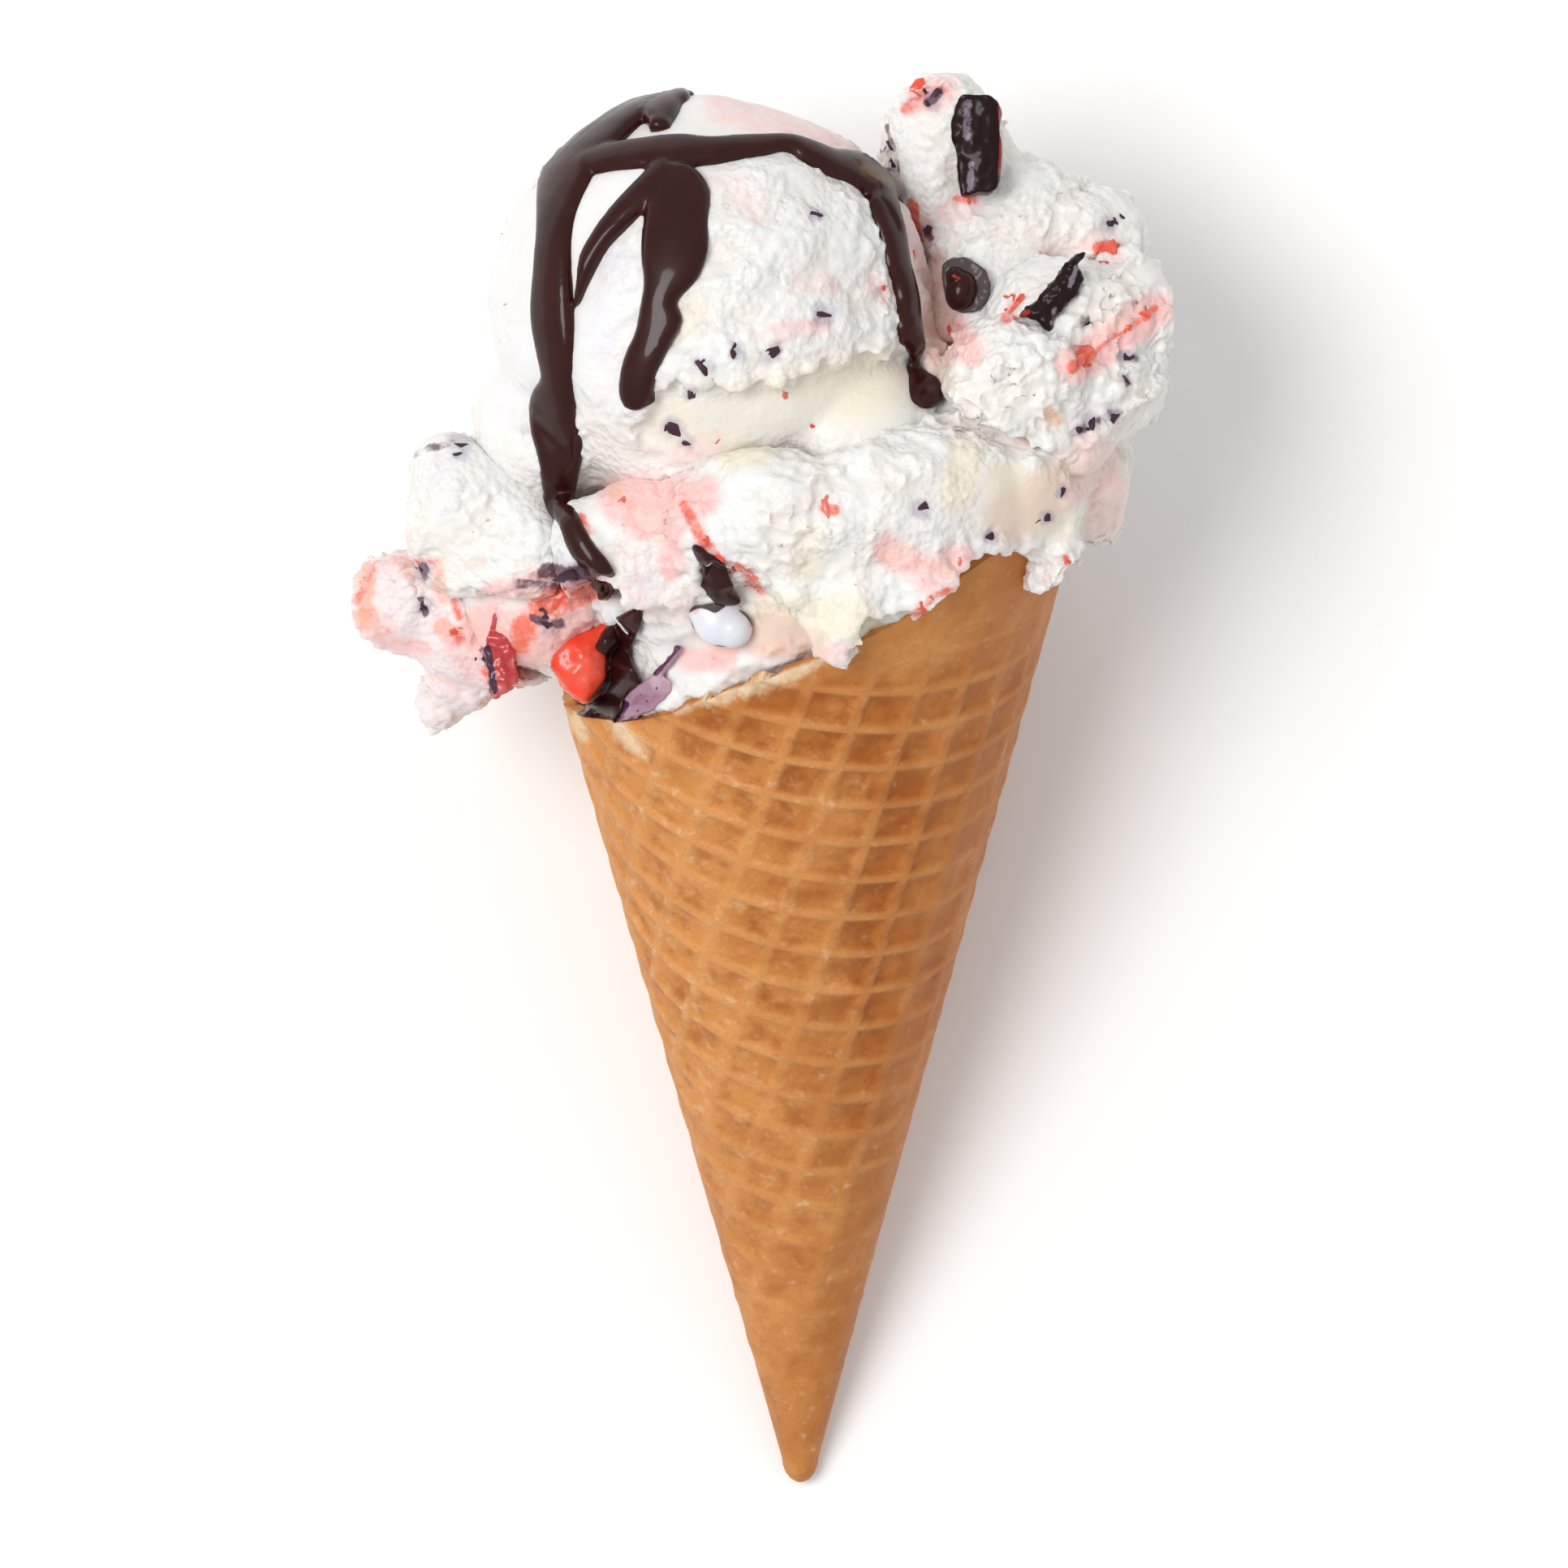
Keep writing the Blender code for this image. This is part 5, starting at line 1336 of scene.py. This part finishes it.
drizzle = {
    "thickness": 1.2,     # mm in the middle
    "proud": 0.35,        # mm at the edge, over the cream before it is roughened
    "sunk": 1.0,          # mm of its underside
    "bulge": 0.4,         # how round it is across, from 0 for flat
    "slender": (12, 0.25),    # half width in pixels below which it is thinner, and the share that is left
    "spacing": 7,         # pixels between two rows
    "stripEnd": 0.03,     # least width at the ends, by the full one
    "runEnd": 0.1,
    "soften": 7,
    "guess": 200,         # mm up the cone, about where the ball is
    "thinEnd": 8 * mm,    # over which a run behind the outline thins out
    "across": 10,         # places across a strip
    "grid": 0.32,
    "step": 2.5,          # mm between two bodies, from which the chocolate fills the crease
    "behind": [           # runs over the ball's outline: places and widths in pixels, and mm behind it
        ([(690, 262, 24), (694, 240, 34), (700, 214, 44), (722, 186, 52), (752, 160, 56), (790, 134, 54),
          (822, 118, 44), (840, 112, 28), (852, 110, 14)], 2.6),
        ([(1072, 208, 26), (1096, 216, 34), (1112, 232, 34), (1122, 250, 24)], 1.6),
    ],
    # painted highlight: a bronze glint where the drizzle bends at the right
    "bronzeGlint": [([(1068, 208), (1104, 226), (1114, 244)], 10)],
    "strands": {          # pixels across and down, width in pixels
        "left": [(856, 116, 6), (815, 126, 16), (776, 145, 26), (748, 165, 38), (716, 192, 52),
                 (697, 218, 60), (690, 245, 54), (685, 284, 43), (682, 330, 44), (681, 385, 50),
                 (686, 430, 46), (688, 464, 37), (682, 490, 52), (681, 522, 56), (688, 545, 58),
                 (690, 565, 54), (689, 600, 42), (690, 618, 36), (703, 642, 24), (718, 672, 26),
                 (734, 695, 27), (748, 722, 32), (752, 738, 26)],
        "crown": [(850, 118, 10), (822, 132, 34), (806, 148, 42), (801, 162, 24)],
        "across": [(715, 205, 30), (752, 196, 32), (793, 192, 38), (838, 188, 40), (875, 187, 30),
                   (927, 183, 27), (968, 179, 17), (993, 188, 24), (1021, 200, 27), (1050, 206, 36),
                   (1078, 218, 44), (1100, 232, 34), (1112, 240, 16)],
        "right": [(1076, 222, 36), (1084, 245, 34), (1090, 266, 31), (1098, 292, 27), (1104, 325, 25),
                  (1112, 350, 21), (1117, 374, 21), (1117, 398, 26), (1121, 419, 24), (1127, 436, 12),
                  (1124, 446, 11), (1129, 460, 26), (1136, 477, 38), (1142, 492, 40), (1146, 503, 28)],
        "middle": [(838, 205, 86), (836, 240, 80), (833, 272, 80), (831, 304, 83), (826, 330, 74),
                   (820, 348, 58), (815, 362, 46), (812, 376, 45), (814, 390, 54), (808, 408, 48),
                   (801, 425, 45), (793, 442, 45), (787, 460, 43), (785, 482, 43), (784, 505, 36)],
        "branch": [(828, 205, 40), (806, 228, 36), (789, 243, 33), (764, 268, 29), (744, 292, 24),
                   (729, 317, 22), (721, 341, 14), (714, 364, 7), (710, 378, 4)],
    },
}


ballMiddle = lieDown @ Vector((0, 0, drizzle["guess"] * mm))


def seatBeside(trees, across, down, guess):
    # As seat, but past an edge the nearest place on the surface to the line of sight
    place, normal = seat(trees, across, down)
    if place:
        return place, normal
    start, towards = sightLine(across, down)
    aim = start + towards * (guess - start).dot(towards)
    found = [tree.find_nearest(aim) for tree in trees]
    place, normal, _, _ = min(found, key=lambda hit: hit[3])
    return place, normal


def smoothRoute(points, spacing):
    # A smooth curve through the points, with a place about every spacing
    points = [Vector(p) for p in points]
    route = []
    for n in range(len(points) - 1):
        p0, p1 = points[max(n - 1, 0)], points[n]
        p2, p3 = points[n + 1], points[min(n + 2, len(points) - 1)]
        steps = max(1, round((p2.xy - p1.xy).length / spacing))
        for k in range(steps):
            t = k / steps
            route.append(((-t**3 + 2 * t**2 - t) * p0 + (3 * t**3 - 5 * t**2 + 2) * p1
                          + (-3 * t**3 + 4 * t**2 + t) * p2 + (t**3 - t**2) * p3) / 2)
    route.append(points[-1])
    return route


def skinOver(name, mesh, rows):
    # Joins rings of corners to one closed body
    for first, second in zip(rows, rows[1:]):
        for k in range(len(first)):
            mesh.faces.new((first[k - 1], first[k], second[k], second[k - 1]))
    mesh.faces.new(rows[0])
    mesh.faces.new(rows[-1])
    bmesh.ops.recalc_face_normals(mesh, faces=mesh.faces)
    data = bpy.data.meshes.new(name)
    mesh.to_mesh(data)
    mesh.free()
    obj = bpy.data.objects.new(name, data)
    bpy.context.scene.collection.objects.link(obj)
    return obj


def roundEnd(end, half, least):
    # Share of the width that a strip has near its round end
    return (1 - (1 - min(end / half, 1)) ** 2) ** 0.5 * (1 - least) + least


def layStrip(name, points, trees):
    # A strip along a line of the photo, as wide as it shows there
    route = smoothRoute(points, drizzle["spacing"])
    lengths = [0]
    for a, b in zip(route, route[1:]):
        lengths.append(lengths[-1] + (b.xy - a.xy).length)
    count = drizzle["across"]
    fullHalf, least = drizzle["slender"]
    mesh = bmesh.new()
    rows = []
    places = []
    guess = None
    for n, point in enumerate(route):
        before, after = route[max(n - 2, 0)], route[min(n + 2, len(route) - 1)]
        along = (after.xy - before.xy).normalized()
        side = Vector((-along.y, along.x))
        half = point.z / 2
        end = max(min(lengths[n], lengths[-1] - lengths[n]), 0)
        half *= roundEnd(end, half, drizzle["stripEnd"])
        middle, _ = seat(trees, point.x, point.y)
        guess = middle or guess
        if guess is None:
            guess = seatBeside(trees, point.x, point.y, ballMiddle)[0]
        row = []
        for k in range(count):
            t = -1 + 2 * k / (count - 1)
            across, down = point.x + side.x * half * t, point.y + side.y * half * t
            place, normal = seatBeside(trees, across, down, guess)
            bulge = (1 - t * t) ** drizzle["bulge"] * min(1, half / fullHalf + least)
            row.append((place, normal, drizzle["thickness"] * bulge + drizzle["proud"]))
        places.append(row)
    eye = camera.matrix_world.translation
    near = [[(eye - place).length for place, _, _ in row] for row in places]
    for n, row in enumerate(places):
        top, under = [], []
        for k, (place, normal, thick) in enumerate(row):
            around = [near[m][k] for m in range(max(n - 2, 0), min(n + 3, len(places)))]
            if max(around) - min(around) > drizzle["step"] * mm:   # bridges the step between two bodies
                raised = eye + (place - eye).normalized() * (sum(around) / len(around))
            else:
                raised = place
            top.append(mesh.verts.new(raised + normal * thick * mm))
            low = max((raised, place), key=lambda p: (eye - p).length)
            under.append(mesh.verts.new(low - normal * drizzle["sunk"] * mm))
        rows.append(top + under[::-1])
    return skinOver(name, mesh, rows)


def layRun(name, points, behind, tree):
    # A run on the ball itself, round the back of the outline that the photo shows
    count = drizzle["across"]
    route = []
    for point in smoothRoute(points, drizzle["spacing"]):
        place, _ = seatBeside([tree], point.x, point.y, ballMiddle)
        half = point.z / 2 / photo["scale"] * mm
        route.append((tree.find_nearest(place - facing * behind * mm)[0], half))
    mesh = bmesh.new()
    rows = []
    for n, (place, half) in enumerate(route):
        along = (route[min(n + 2, len(route) - 1)][0] - route[max(n - 2, 0)][0]).normalized()
        side = along.cross(tree.find_nearest(place)[1]).normalized()
        end = min((place - route[0][0]).length, (place - route[-1][0]).length)
        half *= roundEnd(end, half, drizzle["runEnd"])
        top, under = [], []
        for k in range(count):
            t = -1 + 2 * k / (count - 1)
            seatHere, normal, _, _ = tree.find_nearest(place + side * half * t)
            bulge = (1 - t * t) ** drizzle["bulge"] * min(1, end / drizzle["thinEnd"])
            thick = drizzle["thickness"] * bulge + drizzle["proud"]
            top.append(mesh.verts.new(seatHere + normal * thick * mm))
            under.append(mesh.verts.new(seatHere - normal * drizzle["sunk"] * mm))
        rows.append(top + under[::-1])
    return skinOver(name, mesh, rows)


def paintStrokes(obj, name, strokes):
    # Paints lines of pixels on what faces the camera
    pixels = pixelsOf(pointsOf(obj))
    value = np.zeros(len(pixels))
    for route, reach in strokes:
        value = np.maximum(value, within(distanceTo(pixels, route), reach))
    setAttribute(obj, name, value * ease(normalsOf(obj) @ np.array(facing) * 2))


def makeDrizzle():
    trees = [smoothTrees[node] for node in ("ice_cream_scoop", "left_lobe", "ice_cream_heap")]
    strips = [layStrip("drizzle_" + name, points, trees) for name, points in drizzle["strands"].items()]
    strips += [layRun("drizzle_behind", points, behind, trees[0]) for points, behind in drizzle["behind"]]
    obj = joinAll(strips, "chocolate_drizzle")
    applyModifier(obj, "REMESH", mode="VOXEL", voxel_size=drizzle["grid"] * mm)
    applyModifier(obj, "SMOOTH", factor=0.5, iterations=drizzle["soften"])
    points = pointsOf(obj)
    movePoints(obj, np.clip(points, np.array(cadBox[0]), np.array(cadBox[1])))
    # painted highlight where the drizzle bends
    paintStrokes(obj, "bronzeGlint", drizzle["bronzeGlint"])
    pick(obj)
    bpy.ops.object.shade_smooth()
    return done(obj, ["ice_cream_scoop"], meltedMaterial)


makeDrizzle()


# Toppings: each is cut to the outline that the photo shows, in the depth where its solid lies

toppings = {
    "chunkTop": {
        "node": "chocolate_chunk_top", "thick": 3.0, "grid": 0.16, "soften": 6, "uneven": (3.2, 0.45),
        "crown": 0.5,
        "strokes": {"berry": [([(1231, 130), (1233, 170), (1231, 215)], 2.2),
                              ([(1186, 243), (1204, 244)], 4)],
                    # the frost lines on this chunk are a painted highlight
                    "frost": [([(1193, 126), (1190, 168)], 8), ([(1197, 203), (1195, 234)], 6)]},
        "outline": [(1180, 121), (1202, 118), (1229, 125), (1233, 160), (1232, 214), (1223, 237),
                    (1205, 238), (1184, 243), (1179, 200), (1172, 157)]},
    "chunkRight": {
        "node": "chocolate_chunk_right", "thick": 2.2, "grid": 0.16, "soften": 3, "uneven": (1.5, 0.4),
        "crown": 0.9,
        "strokes": {"frost": [([(1326, 330), (1318, 352)], 5), ([(1300, 380), (1296, 398)], 4)],
                    "berry": [([(1258, 390), (1266, 384)], 5)]},
        "outline": [(1338, 311), (1321, 318), (1304, 337), (1292, 354), (1274, 372), (1257, 389),
                    (1275, 393), (1284, 404), (1294, 407), (1298, 396), (1313, 377), (1326, 362),
                    (1334, 342), (1326, 326)]},
    "curl": {
        "node": "chocolate_curl", "thick": 2.0, "grid": 0.16, "soften": 6, "uneven": (3.0, 0.25),
        "drape": 0.3, "crown": 1.7,
        "outline": [(787, 750), (766, 757), (750, 768), (739, 785), (734, 799), (745, 809), (751, 824),
                    (743, 838), (732, 853), (721, 871), (710, 881), (734, 885), (751, 884), (757, 892),
                    (766, 880), (771, 861), (787, 842), (782, 822), (776, 803), (784, 785), (792, 766)]},
    "strawberry": {
        "node": "strawberry_piece", "thick": 5.0, "grid": 0.22, "soften": 7, "uneven": (3.6, 0.6),
        "lift": 0.4, "crown": 2.0,
        "outline": [(678, 806), (689, 788), (712, 778), (735, 772), (756, 764), (762, 790), (750, 812),
                    (748, 838), (736, 856), (718, 866), (702, 856), (690, 842), (682, 827)]},
    "film": {
        "node": "chocolate_curl", "thick": 1.0, "grid": 0.2, "soften": 3, "uneven": (1.8, 0.45),
        "drape": 1.1, "crown": 0.4,
        "strokes": {"juice": [([(836, 797), (828, 806), (808, 830)], 4), ([(760, 884), (770, 868)], 7),
                              ([(797, 864)], 2.2), ([(809, 848)], 2), ([(786, 876)], 1.8),
                              ([(790, 856)], 1.6)]},
        "outline": [(833, 795), (840, 799), (833, 811), (823, 823), (814, 833), (829, 839), (826, 852),
                    (818, 862), (804, 873), (788, 882), (772, 888), (757, 890), (754, 880), (760, 866),
                    (770, 854), (784, 846), (797, 838), (806, 829), (815, 818), (825, 806)]},
    "stem": {
        "node": "chocolate_drop", "thick": 1.6, "grid": 0.16, "soften": 6, "uneven": (2.6, 0.3),
        "drape": 0.6, "crown": 0.9,
        "outline": [(853, 673), (868, 676), (886, 690), (898, 706), (905, 724), (914, 742), (896, 746),
                    (876, 738), (862, 722), (866, 704), (857, 690)]},
    "cup": {
        "node": "chocolate_drop", "thick": 2.2, "grid": 0.2, "soften": 6, "uneven": (2.4, 0.25),
        "drape": 0.0,
        "outline": [(850, 752), (851, 765), (857, 777), (868, 788), (885, 795), (902, 796), (915, 790),
                    (926, 777), (924, 762), (910, 750), (882, 744), (862, 745)]},
    "cap": {
        "node": "chocolate_bead", "thick": 3.0, "grid": 0.18, "soften": 6, "uneven": (2.0, 0.3),
        "outline": [(1162, 328), (1178, 317), (1200, 322), (1217, 344), (1219, 366), (1206, 382),
                    (1188, 386), (1170, 376), (1163, 352)]},
    "berry": {
        "node": "berry_piece", "thick": 4.0, "grid": 0.18, "soften": 4, "uneven": (2.2, 0.7),
        "strokes": {"juice": [([(600, 800), (608, 850)], 7)]},
        "outline": [(616, 752), (628, 768), (634, 800), (636, 832), (626, 853), (608, 858), (602, 832),
                    (598, 800), (604, 768)]},
}
cutting = {
    "turn": 3,              # places between two corners of an outline
    "finer": (2.3, 0.5),    # size and height of the second unevenness, against the first
}
# Drops, with lumps given by pixels across and down, half sizes across and down in pixels, half depth in mm,
# turn in degrees and lift towards the camera in mm
drops = {
    "bead": {
        "grid": 0.18, "soften": 5,
        "lumps": [(1184, 359, 19, 25, 2.2, 15, 1.2), (1177, 341, 12, 12, 2.0, 0, 1.2)],
        # painted highlight: a red mark for the orange glint inside the dark bead
        "strokes": [([(1174, 340), (1182, 343)], 2.5)]},
    "droplet": {
        "grid": 0.24, "soften": 24, "seat": (888, 768),
        "lumps": [(885, 764, 31, 31, 2.4, 30, 0.9), (875, 756, 26, 20, 2.2, 0, 0.9),
                  (902, 774, 25, 24, 2.4, 20, 0.9)],
        "strokes": [([(850, 745), (856, 752)], 7), ([(926, 755), (925, 770)], 5)]},
}


def pixelsToPlane(outline, middle):
    # Places of pixels on the plane through a point that faces the camera
    places = []
    for across, down in outline:
        start, towards = sightLine(across, down)
        places.append(start + towards * ((middle - start).dot(facing) / towards.dot(facing)))
    return places


def roundTurns(points, steps):
    # A closed smooth line through the points, with steps places between each two
    count = len(points)
    line = []
    for n in range(count):
        p0, p1, p2, p3 = (points[(n + k) % count] for k in (-1, 0, 1, 2))
        for k in range(steps):
            t = k / steps
            line.append(((-t**3 + 2 * t**2 - t) * p0 + (3 * t**3 - 5 * t**2 + 2) * p1
                         + (-3 * t**3 + 4 * t**2 + t) * p2 + (t**3 - t**2) * p3) / 2)
    return line


def cutOut(name, outline, middle, thick, grid, soften, uneven, crown):
    # A piece of an outline and a thickness, rounded at its edges and a little uneven
    forward = facing.normalized()
    line = roundTurns(pixelsToPlane(outline, middle), cutting["turn"])
    bpy.ops.mesh.primitive_circle_add(vertices=len(line), fill_type="NGON")
    obj = bpy.context.object
    obj.name = name
    for vertex, place in zip(obj.data.vertices, line):
        vertex.co = place + forward * thick / 2 * mm
    pick(obj)
    bpy.ops.object.mode_set(mode="EDIT")
    bpy.ops.mesh.select_all(action="SELECT")
    bpy.ops.mesh.extrude_region_move(TRANSFORM_OT_translate={"value": -forward * thick * mm})
    bpy.ops.mesh.select_all(action="SELECT")
    bpy.ops.mesh.normals_make_consistent(inside=False)
    bpy.ops.object.mode_set(mode="OBJECT")
    applyModifier(obj, "REMESH", mode="VOXEL", voxel_size=grid * mm)
    applyModifier(obj, "SMOOTH", factor=0.5, iterations=soften)
    points = pointsOf(obj)
    size, height = uneven
    shift = len(name)
    finer, fainter = cutting["finer"]
    lumps = noiseAt(points, size * mm, shift) + fainter * noiseAt(points, size * mm / finer, shift + 4)
    normals = normalsOf(obj)
    inward = distanceTo(pixelsOf(points), outline + outline[:1])
    swell = np.sqrt(1 - (1 - np.clip(inward / inward.max(), 0, 1)) ** 2)
    swell *= ease(normals @ np.array(forward) + 0.5)
    points += np.array(forward) * (swell * crown * mm)[:, None]
    movePoints(obj, points + normals * (lumps * height * mm)[:, None])
    applyModifier(obj, "SMOOTH", factor=0.5, iterations=1)
    pick(obj)
    bpy.ops.object.shade_smooth()
    return obj


def drape(obj, trees, lift):
    # Lays a flat piece on what lies behind it
    eye = camera.matrix_world.translation
    points = pointsOf(obj)
    rises = points @ np.array(facing)
    rises -= rises.min()
    for n, (across, down) in enumerate(pixelsOf(points)):
        place, normal = seat(trees, across, down)
        if place:
            points[n] = np.array(place + (eye - place).normalized() * (rises[n] + (lift - 1) * mm))
    movePoints(obj, points)
    applyModifier(obj, "SMOOTH", factor=0.5, iterations=4)


def makeCutTopping(key, finish, carriers=()):
    given = toppings[key]
    low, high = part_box(given["node"])
    middle = (low + high) / 2 + facing * given.get("lift", 0) * mm
    obj = cutOut(given["node"] + "_" + key, given["outline"], middle, given["thick"], given["grid"],
                 given["soften"], given["uneven"], given.get("crown", 0))
    if "drape" in given:
        trees = [surfaceOf(thing) for thing in carriers] + [smoothTrees["ice_cream_heap"]]
        drape(obj, trees, given["drape"])
    for name, strokes in given.get("strokes", {}).items():
        paintStrokes(obj, name, strokes)
    return done(obj, [given["node"]], finish)


def makeDrop(name, given, middle):
    # Rounded lumps in the view plane, joined
    turned = camera.matrix_world.to_3x3().to_4x4()
    parts = []
    for across, down, halfAcross, halfDown, halfDeep, turn, lift in given["lumps"]:
        place = pixelsToPlane([(across, down)], middle)[0] + facing * lift * mm
        halves = (halfAcross / photo["scale"] * mm, halfDown / photo["scale"] * mm, halfDeep * mm)
        bpy.ops.mesh.primitive_ico_sphere_add(subdivisions=4, radius=1)
        part = bpy.context.object
        part.matrix_world = (Matrix.Translation(place) @ turned @ Matrix.Rotation(radians(-turn), 4, "Z")
                             @ Matrix.Diagonal((*halves, 1)))
        pick(part)
        bpy.ops.object.transform_apply(location=True, rotation=True, scale=True)
        parts.append(part)
    obj = joinAll(parts, name)
    applyModifier(obj, "REMESH", mode="VOXEL", voxel_size=given["grid"] * mm)
    applyModifier(obj, "SMOOTH", factor=0.5, iterations=given["soften"])
    pick(obj)
    bpy.ops.object.shade_smooth()
    return obj


def makeBead():
    # A dark drop in a milky cap
    makeCutTopping("cap", capMaterial)
    low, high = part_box("chocolate_bead")
    dark = makeDrop("chocolate_bead_shown", drops["bead"], (low + high) / 2)
    # painted highlight: the red mark inside the dark bead
    paintStrokes(dark, "berry", drops["bead"]["strokes"])
    done(dark, ["chocolate_bead"], meltedMaterial)


def makeDroplet():
    # Melted ice cream in a chocolate cup on a stem
    makeCutTopping("stem", meltedMaterial)
    makeCutTopping("cup", capMaterial)
    place, _ = seat([smoothTrees["ice_cream_heap"]], *drops["droplet"]["seat"])
    drop = makeDrop("ice_cream_droplet", drops["droplet"], place)
    paintStrokes(drop, "pink", drops["droplet"]["strokes"])
    done(drop, ["chocolate_drop"], dropletMaterial)


makeCutTopping("chunkTop", chunkMaterial)
makeCutTopping("chunkRight", chunkMaterial)
strawberry = makeCutTopping("strawberry", strawberryMaterial)
makeCutTopping("film", filmMaterial, [waferSheet])
makeCutTopping("curl", meltedMaterial, [waferSheet, strawberry])
makeCutTopping("berry", berryMaterial)
makeBead()
makeDroplet()


# Flecks: small chips of chocolate and berry, half sunk in the ice cream in the places given above

def addChip(place, normal, size, draw):
    # A broken flat chip, cut from a block by slanting planes
    bpy.ops.mesh.primitive_cube_add(size=size)
    chip = bpy.context.object
    pick(chip)
    spin = Matrix.Rotation(draw.uniform(0, 2 * pi), 4, "Z")
    tilt = Matrix.Rotation(draw.uniform(-flecks["tilt"], flecks["tilt"]), 4, "X")
    flat = Matrix.Diagonal((*[draw.uniform(*side) for side in flecks["sides"]], 1))
    bpy.ops.object.mode_set(mode="EDIT")
    for _ in range(flecks["cuts"]):
        away = Vector([draw.uniform(-1, 1) for _ in range(3)]).normalized()
        reach = draw.uniform(*flecks["cutReach"]) * size
        bpy.ops.mesh.select_all(action="SELECT")
        bpy.ops.mesh.bisect(plane_co=away * reach, plane_no=away, use_fill=True, clear_outer=True)
    bpy.ops.mesh.select_all(action="SELECT")
    bpy.ops.mesh.bevel(offset=size * flecks["bevel"], segments=1)
    bpy.ops.object.mode_set(mode="OBJECT")
    turn = normal.to_track_quat("Z", "Y").to_matrix().to_4x4()
    move = Matrix.Translation(place - normal * size * flecks["sunk"])
    chip.data.transform(move @ turn @ spin @ tilt @ flat)
    return chip


def makeFlecks():
    draw = random.Random(flecks["seed"])
    trees = list(softTrees.values())
    kinds = {"dark": [], "red": []}
    for kind, chips in kinds.items():
        for across, down, size in flecks[kind]:
            for n in range(draw.randint(*flecks["together"])):
                away = n * size * flecks["apart"]
                aim = (across + draw.uniform(-away, away), down + draw.uniform(-away, away))
                place, normal = seat(trees, *aim)
                if place:
                    share = flecks["larger"] if n == 0 else flecks["smaller"]
                    chips.append(addChip(place, normal, size / photo["scale"] * mm * share, draw))
    hosts = list(soft.values())
    slant, clear = flecks["hidden"]
    for n in range(flecks["unseen"]):
        host = hosts[draw.randrange(len(hosts))]
        vertex = host.data.vertices[draw.randrange(len(host.data.vertices))]
        size = draw.uniform(*flecks["sizes"])
        if vertex.normal.dot(facing) > slant or vertex.co.z < clear:
            continue
        chip = addChip(vertex.co, vertex.normal, size / photo["scale"] * mm, draw)
        kinds["dark" if n % 2 else "red"].append(chip)
    for kind, slot, finish in (("dark", "chocolate", fleckMaterial), ("red", "fruit", bitMaterial)):
        obj = joinAll(kinds[kind], kind + "_flecks")
        pick(obj)
        bpy.ops.object.shade_smooth_by_angle(angle=flecks["crease"])
        done(obj, list(bodies), finish)


makeFlecks()


# Light and ground

studio = {
    "world": (1.0, 1.0, 1.0),
    "worldStrength": 0.62,
    "floor": (0.97, 0.97, 0.97),
    "floorSize": 6,         # m
    "floorRoughness": 0.8,
    "lamps": [  # place from the middle of the object in mm, size in mm, watts
        ((-950, 420, 2200), 1200, 34.0),
    ],
}


def makeStudio():
    world = bpy.data.worlds.new("studio")
    world.use_nodes = True
    world.node_tree.nodes["Background"].inputs["Color"].default_value = (*studio["world"], 1)
    world.node_tree.nodes["Background"].inputs["Strength"].default_value = studio["worldStrength"]
    bpy.context.scene.world = world
    bpy.context.scene.view_settings.view_transform = "Standard"
    for place, size, power in studio["lamps"]:
        bpy.ops.object.light_add(type="AREA", location=Vector(place) * mm)
        lamp = bpy.context.object
        lamp.data.shape = "DISK"
        lamp.data.size = size * mm
        lamp.data.energy = power
        lamp.rotation_euler = (-Vector(place)).to_track_quat("-Z", "Y").to_euler()
    bpy.ops.mesh.primitive_plane_add(size=studio["floorSize"])
    floor = bpy.context.object
    floor.name = "floor"
    made = Finish("pale_floor")
    floor.data.materials.append(made.set(Base_Color=studio["floor"], Roughness=studio["floorRoughness"]))


makeStudio()
print("finished")
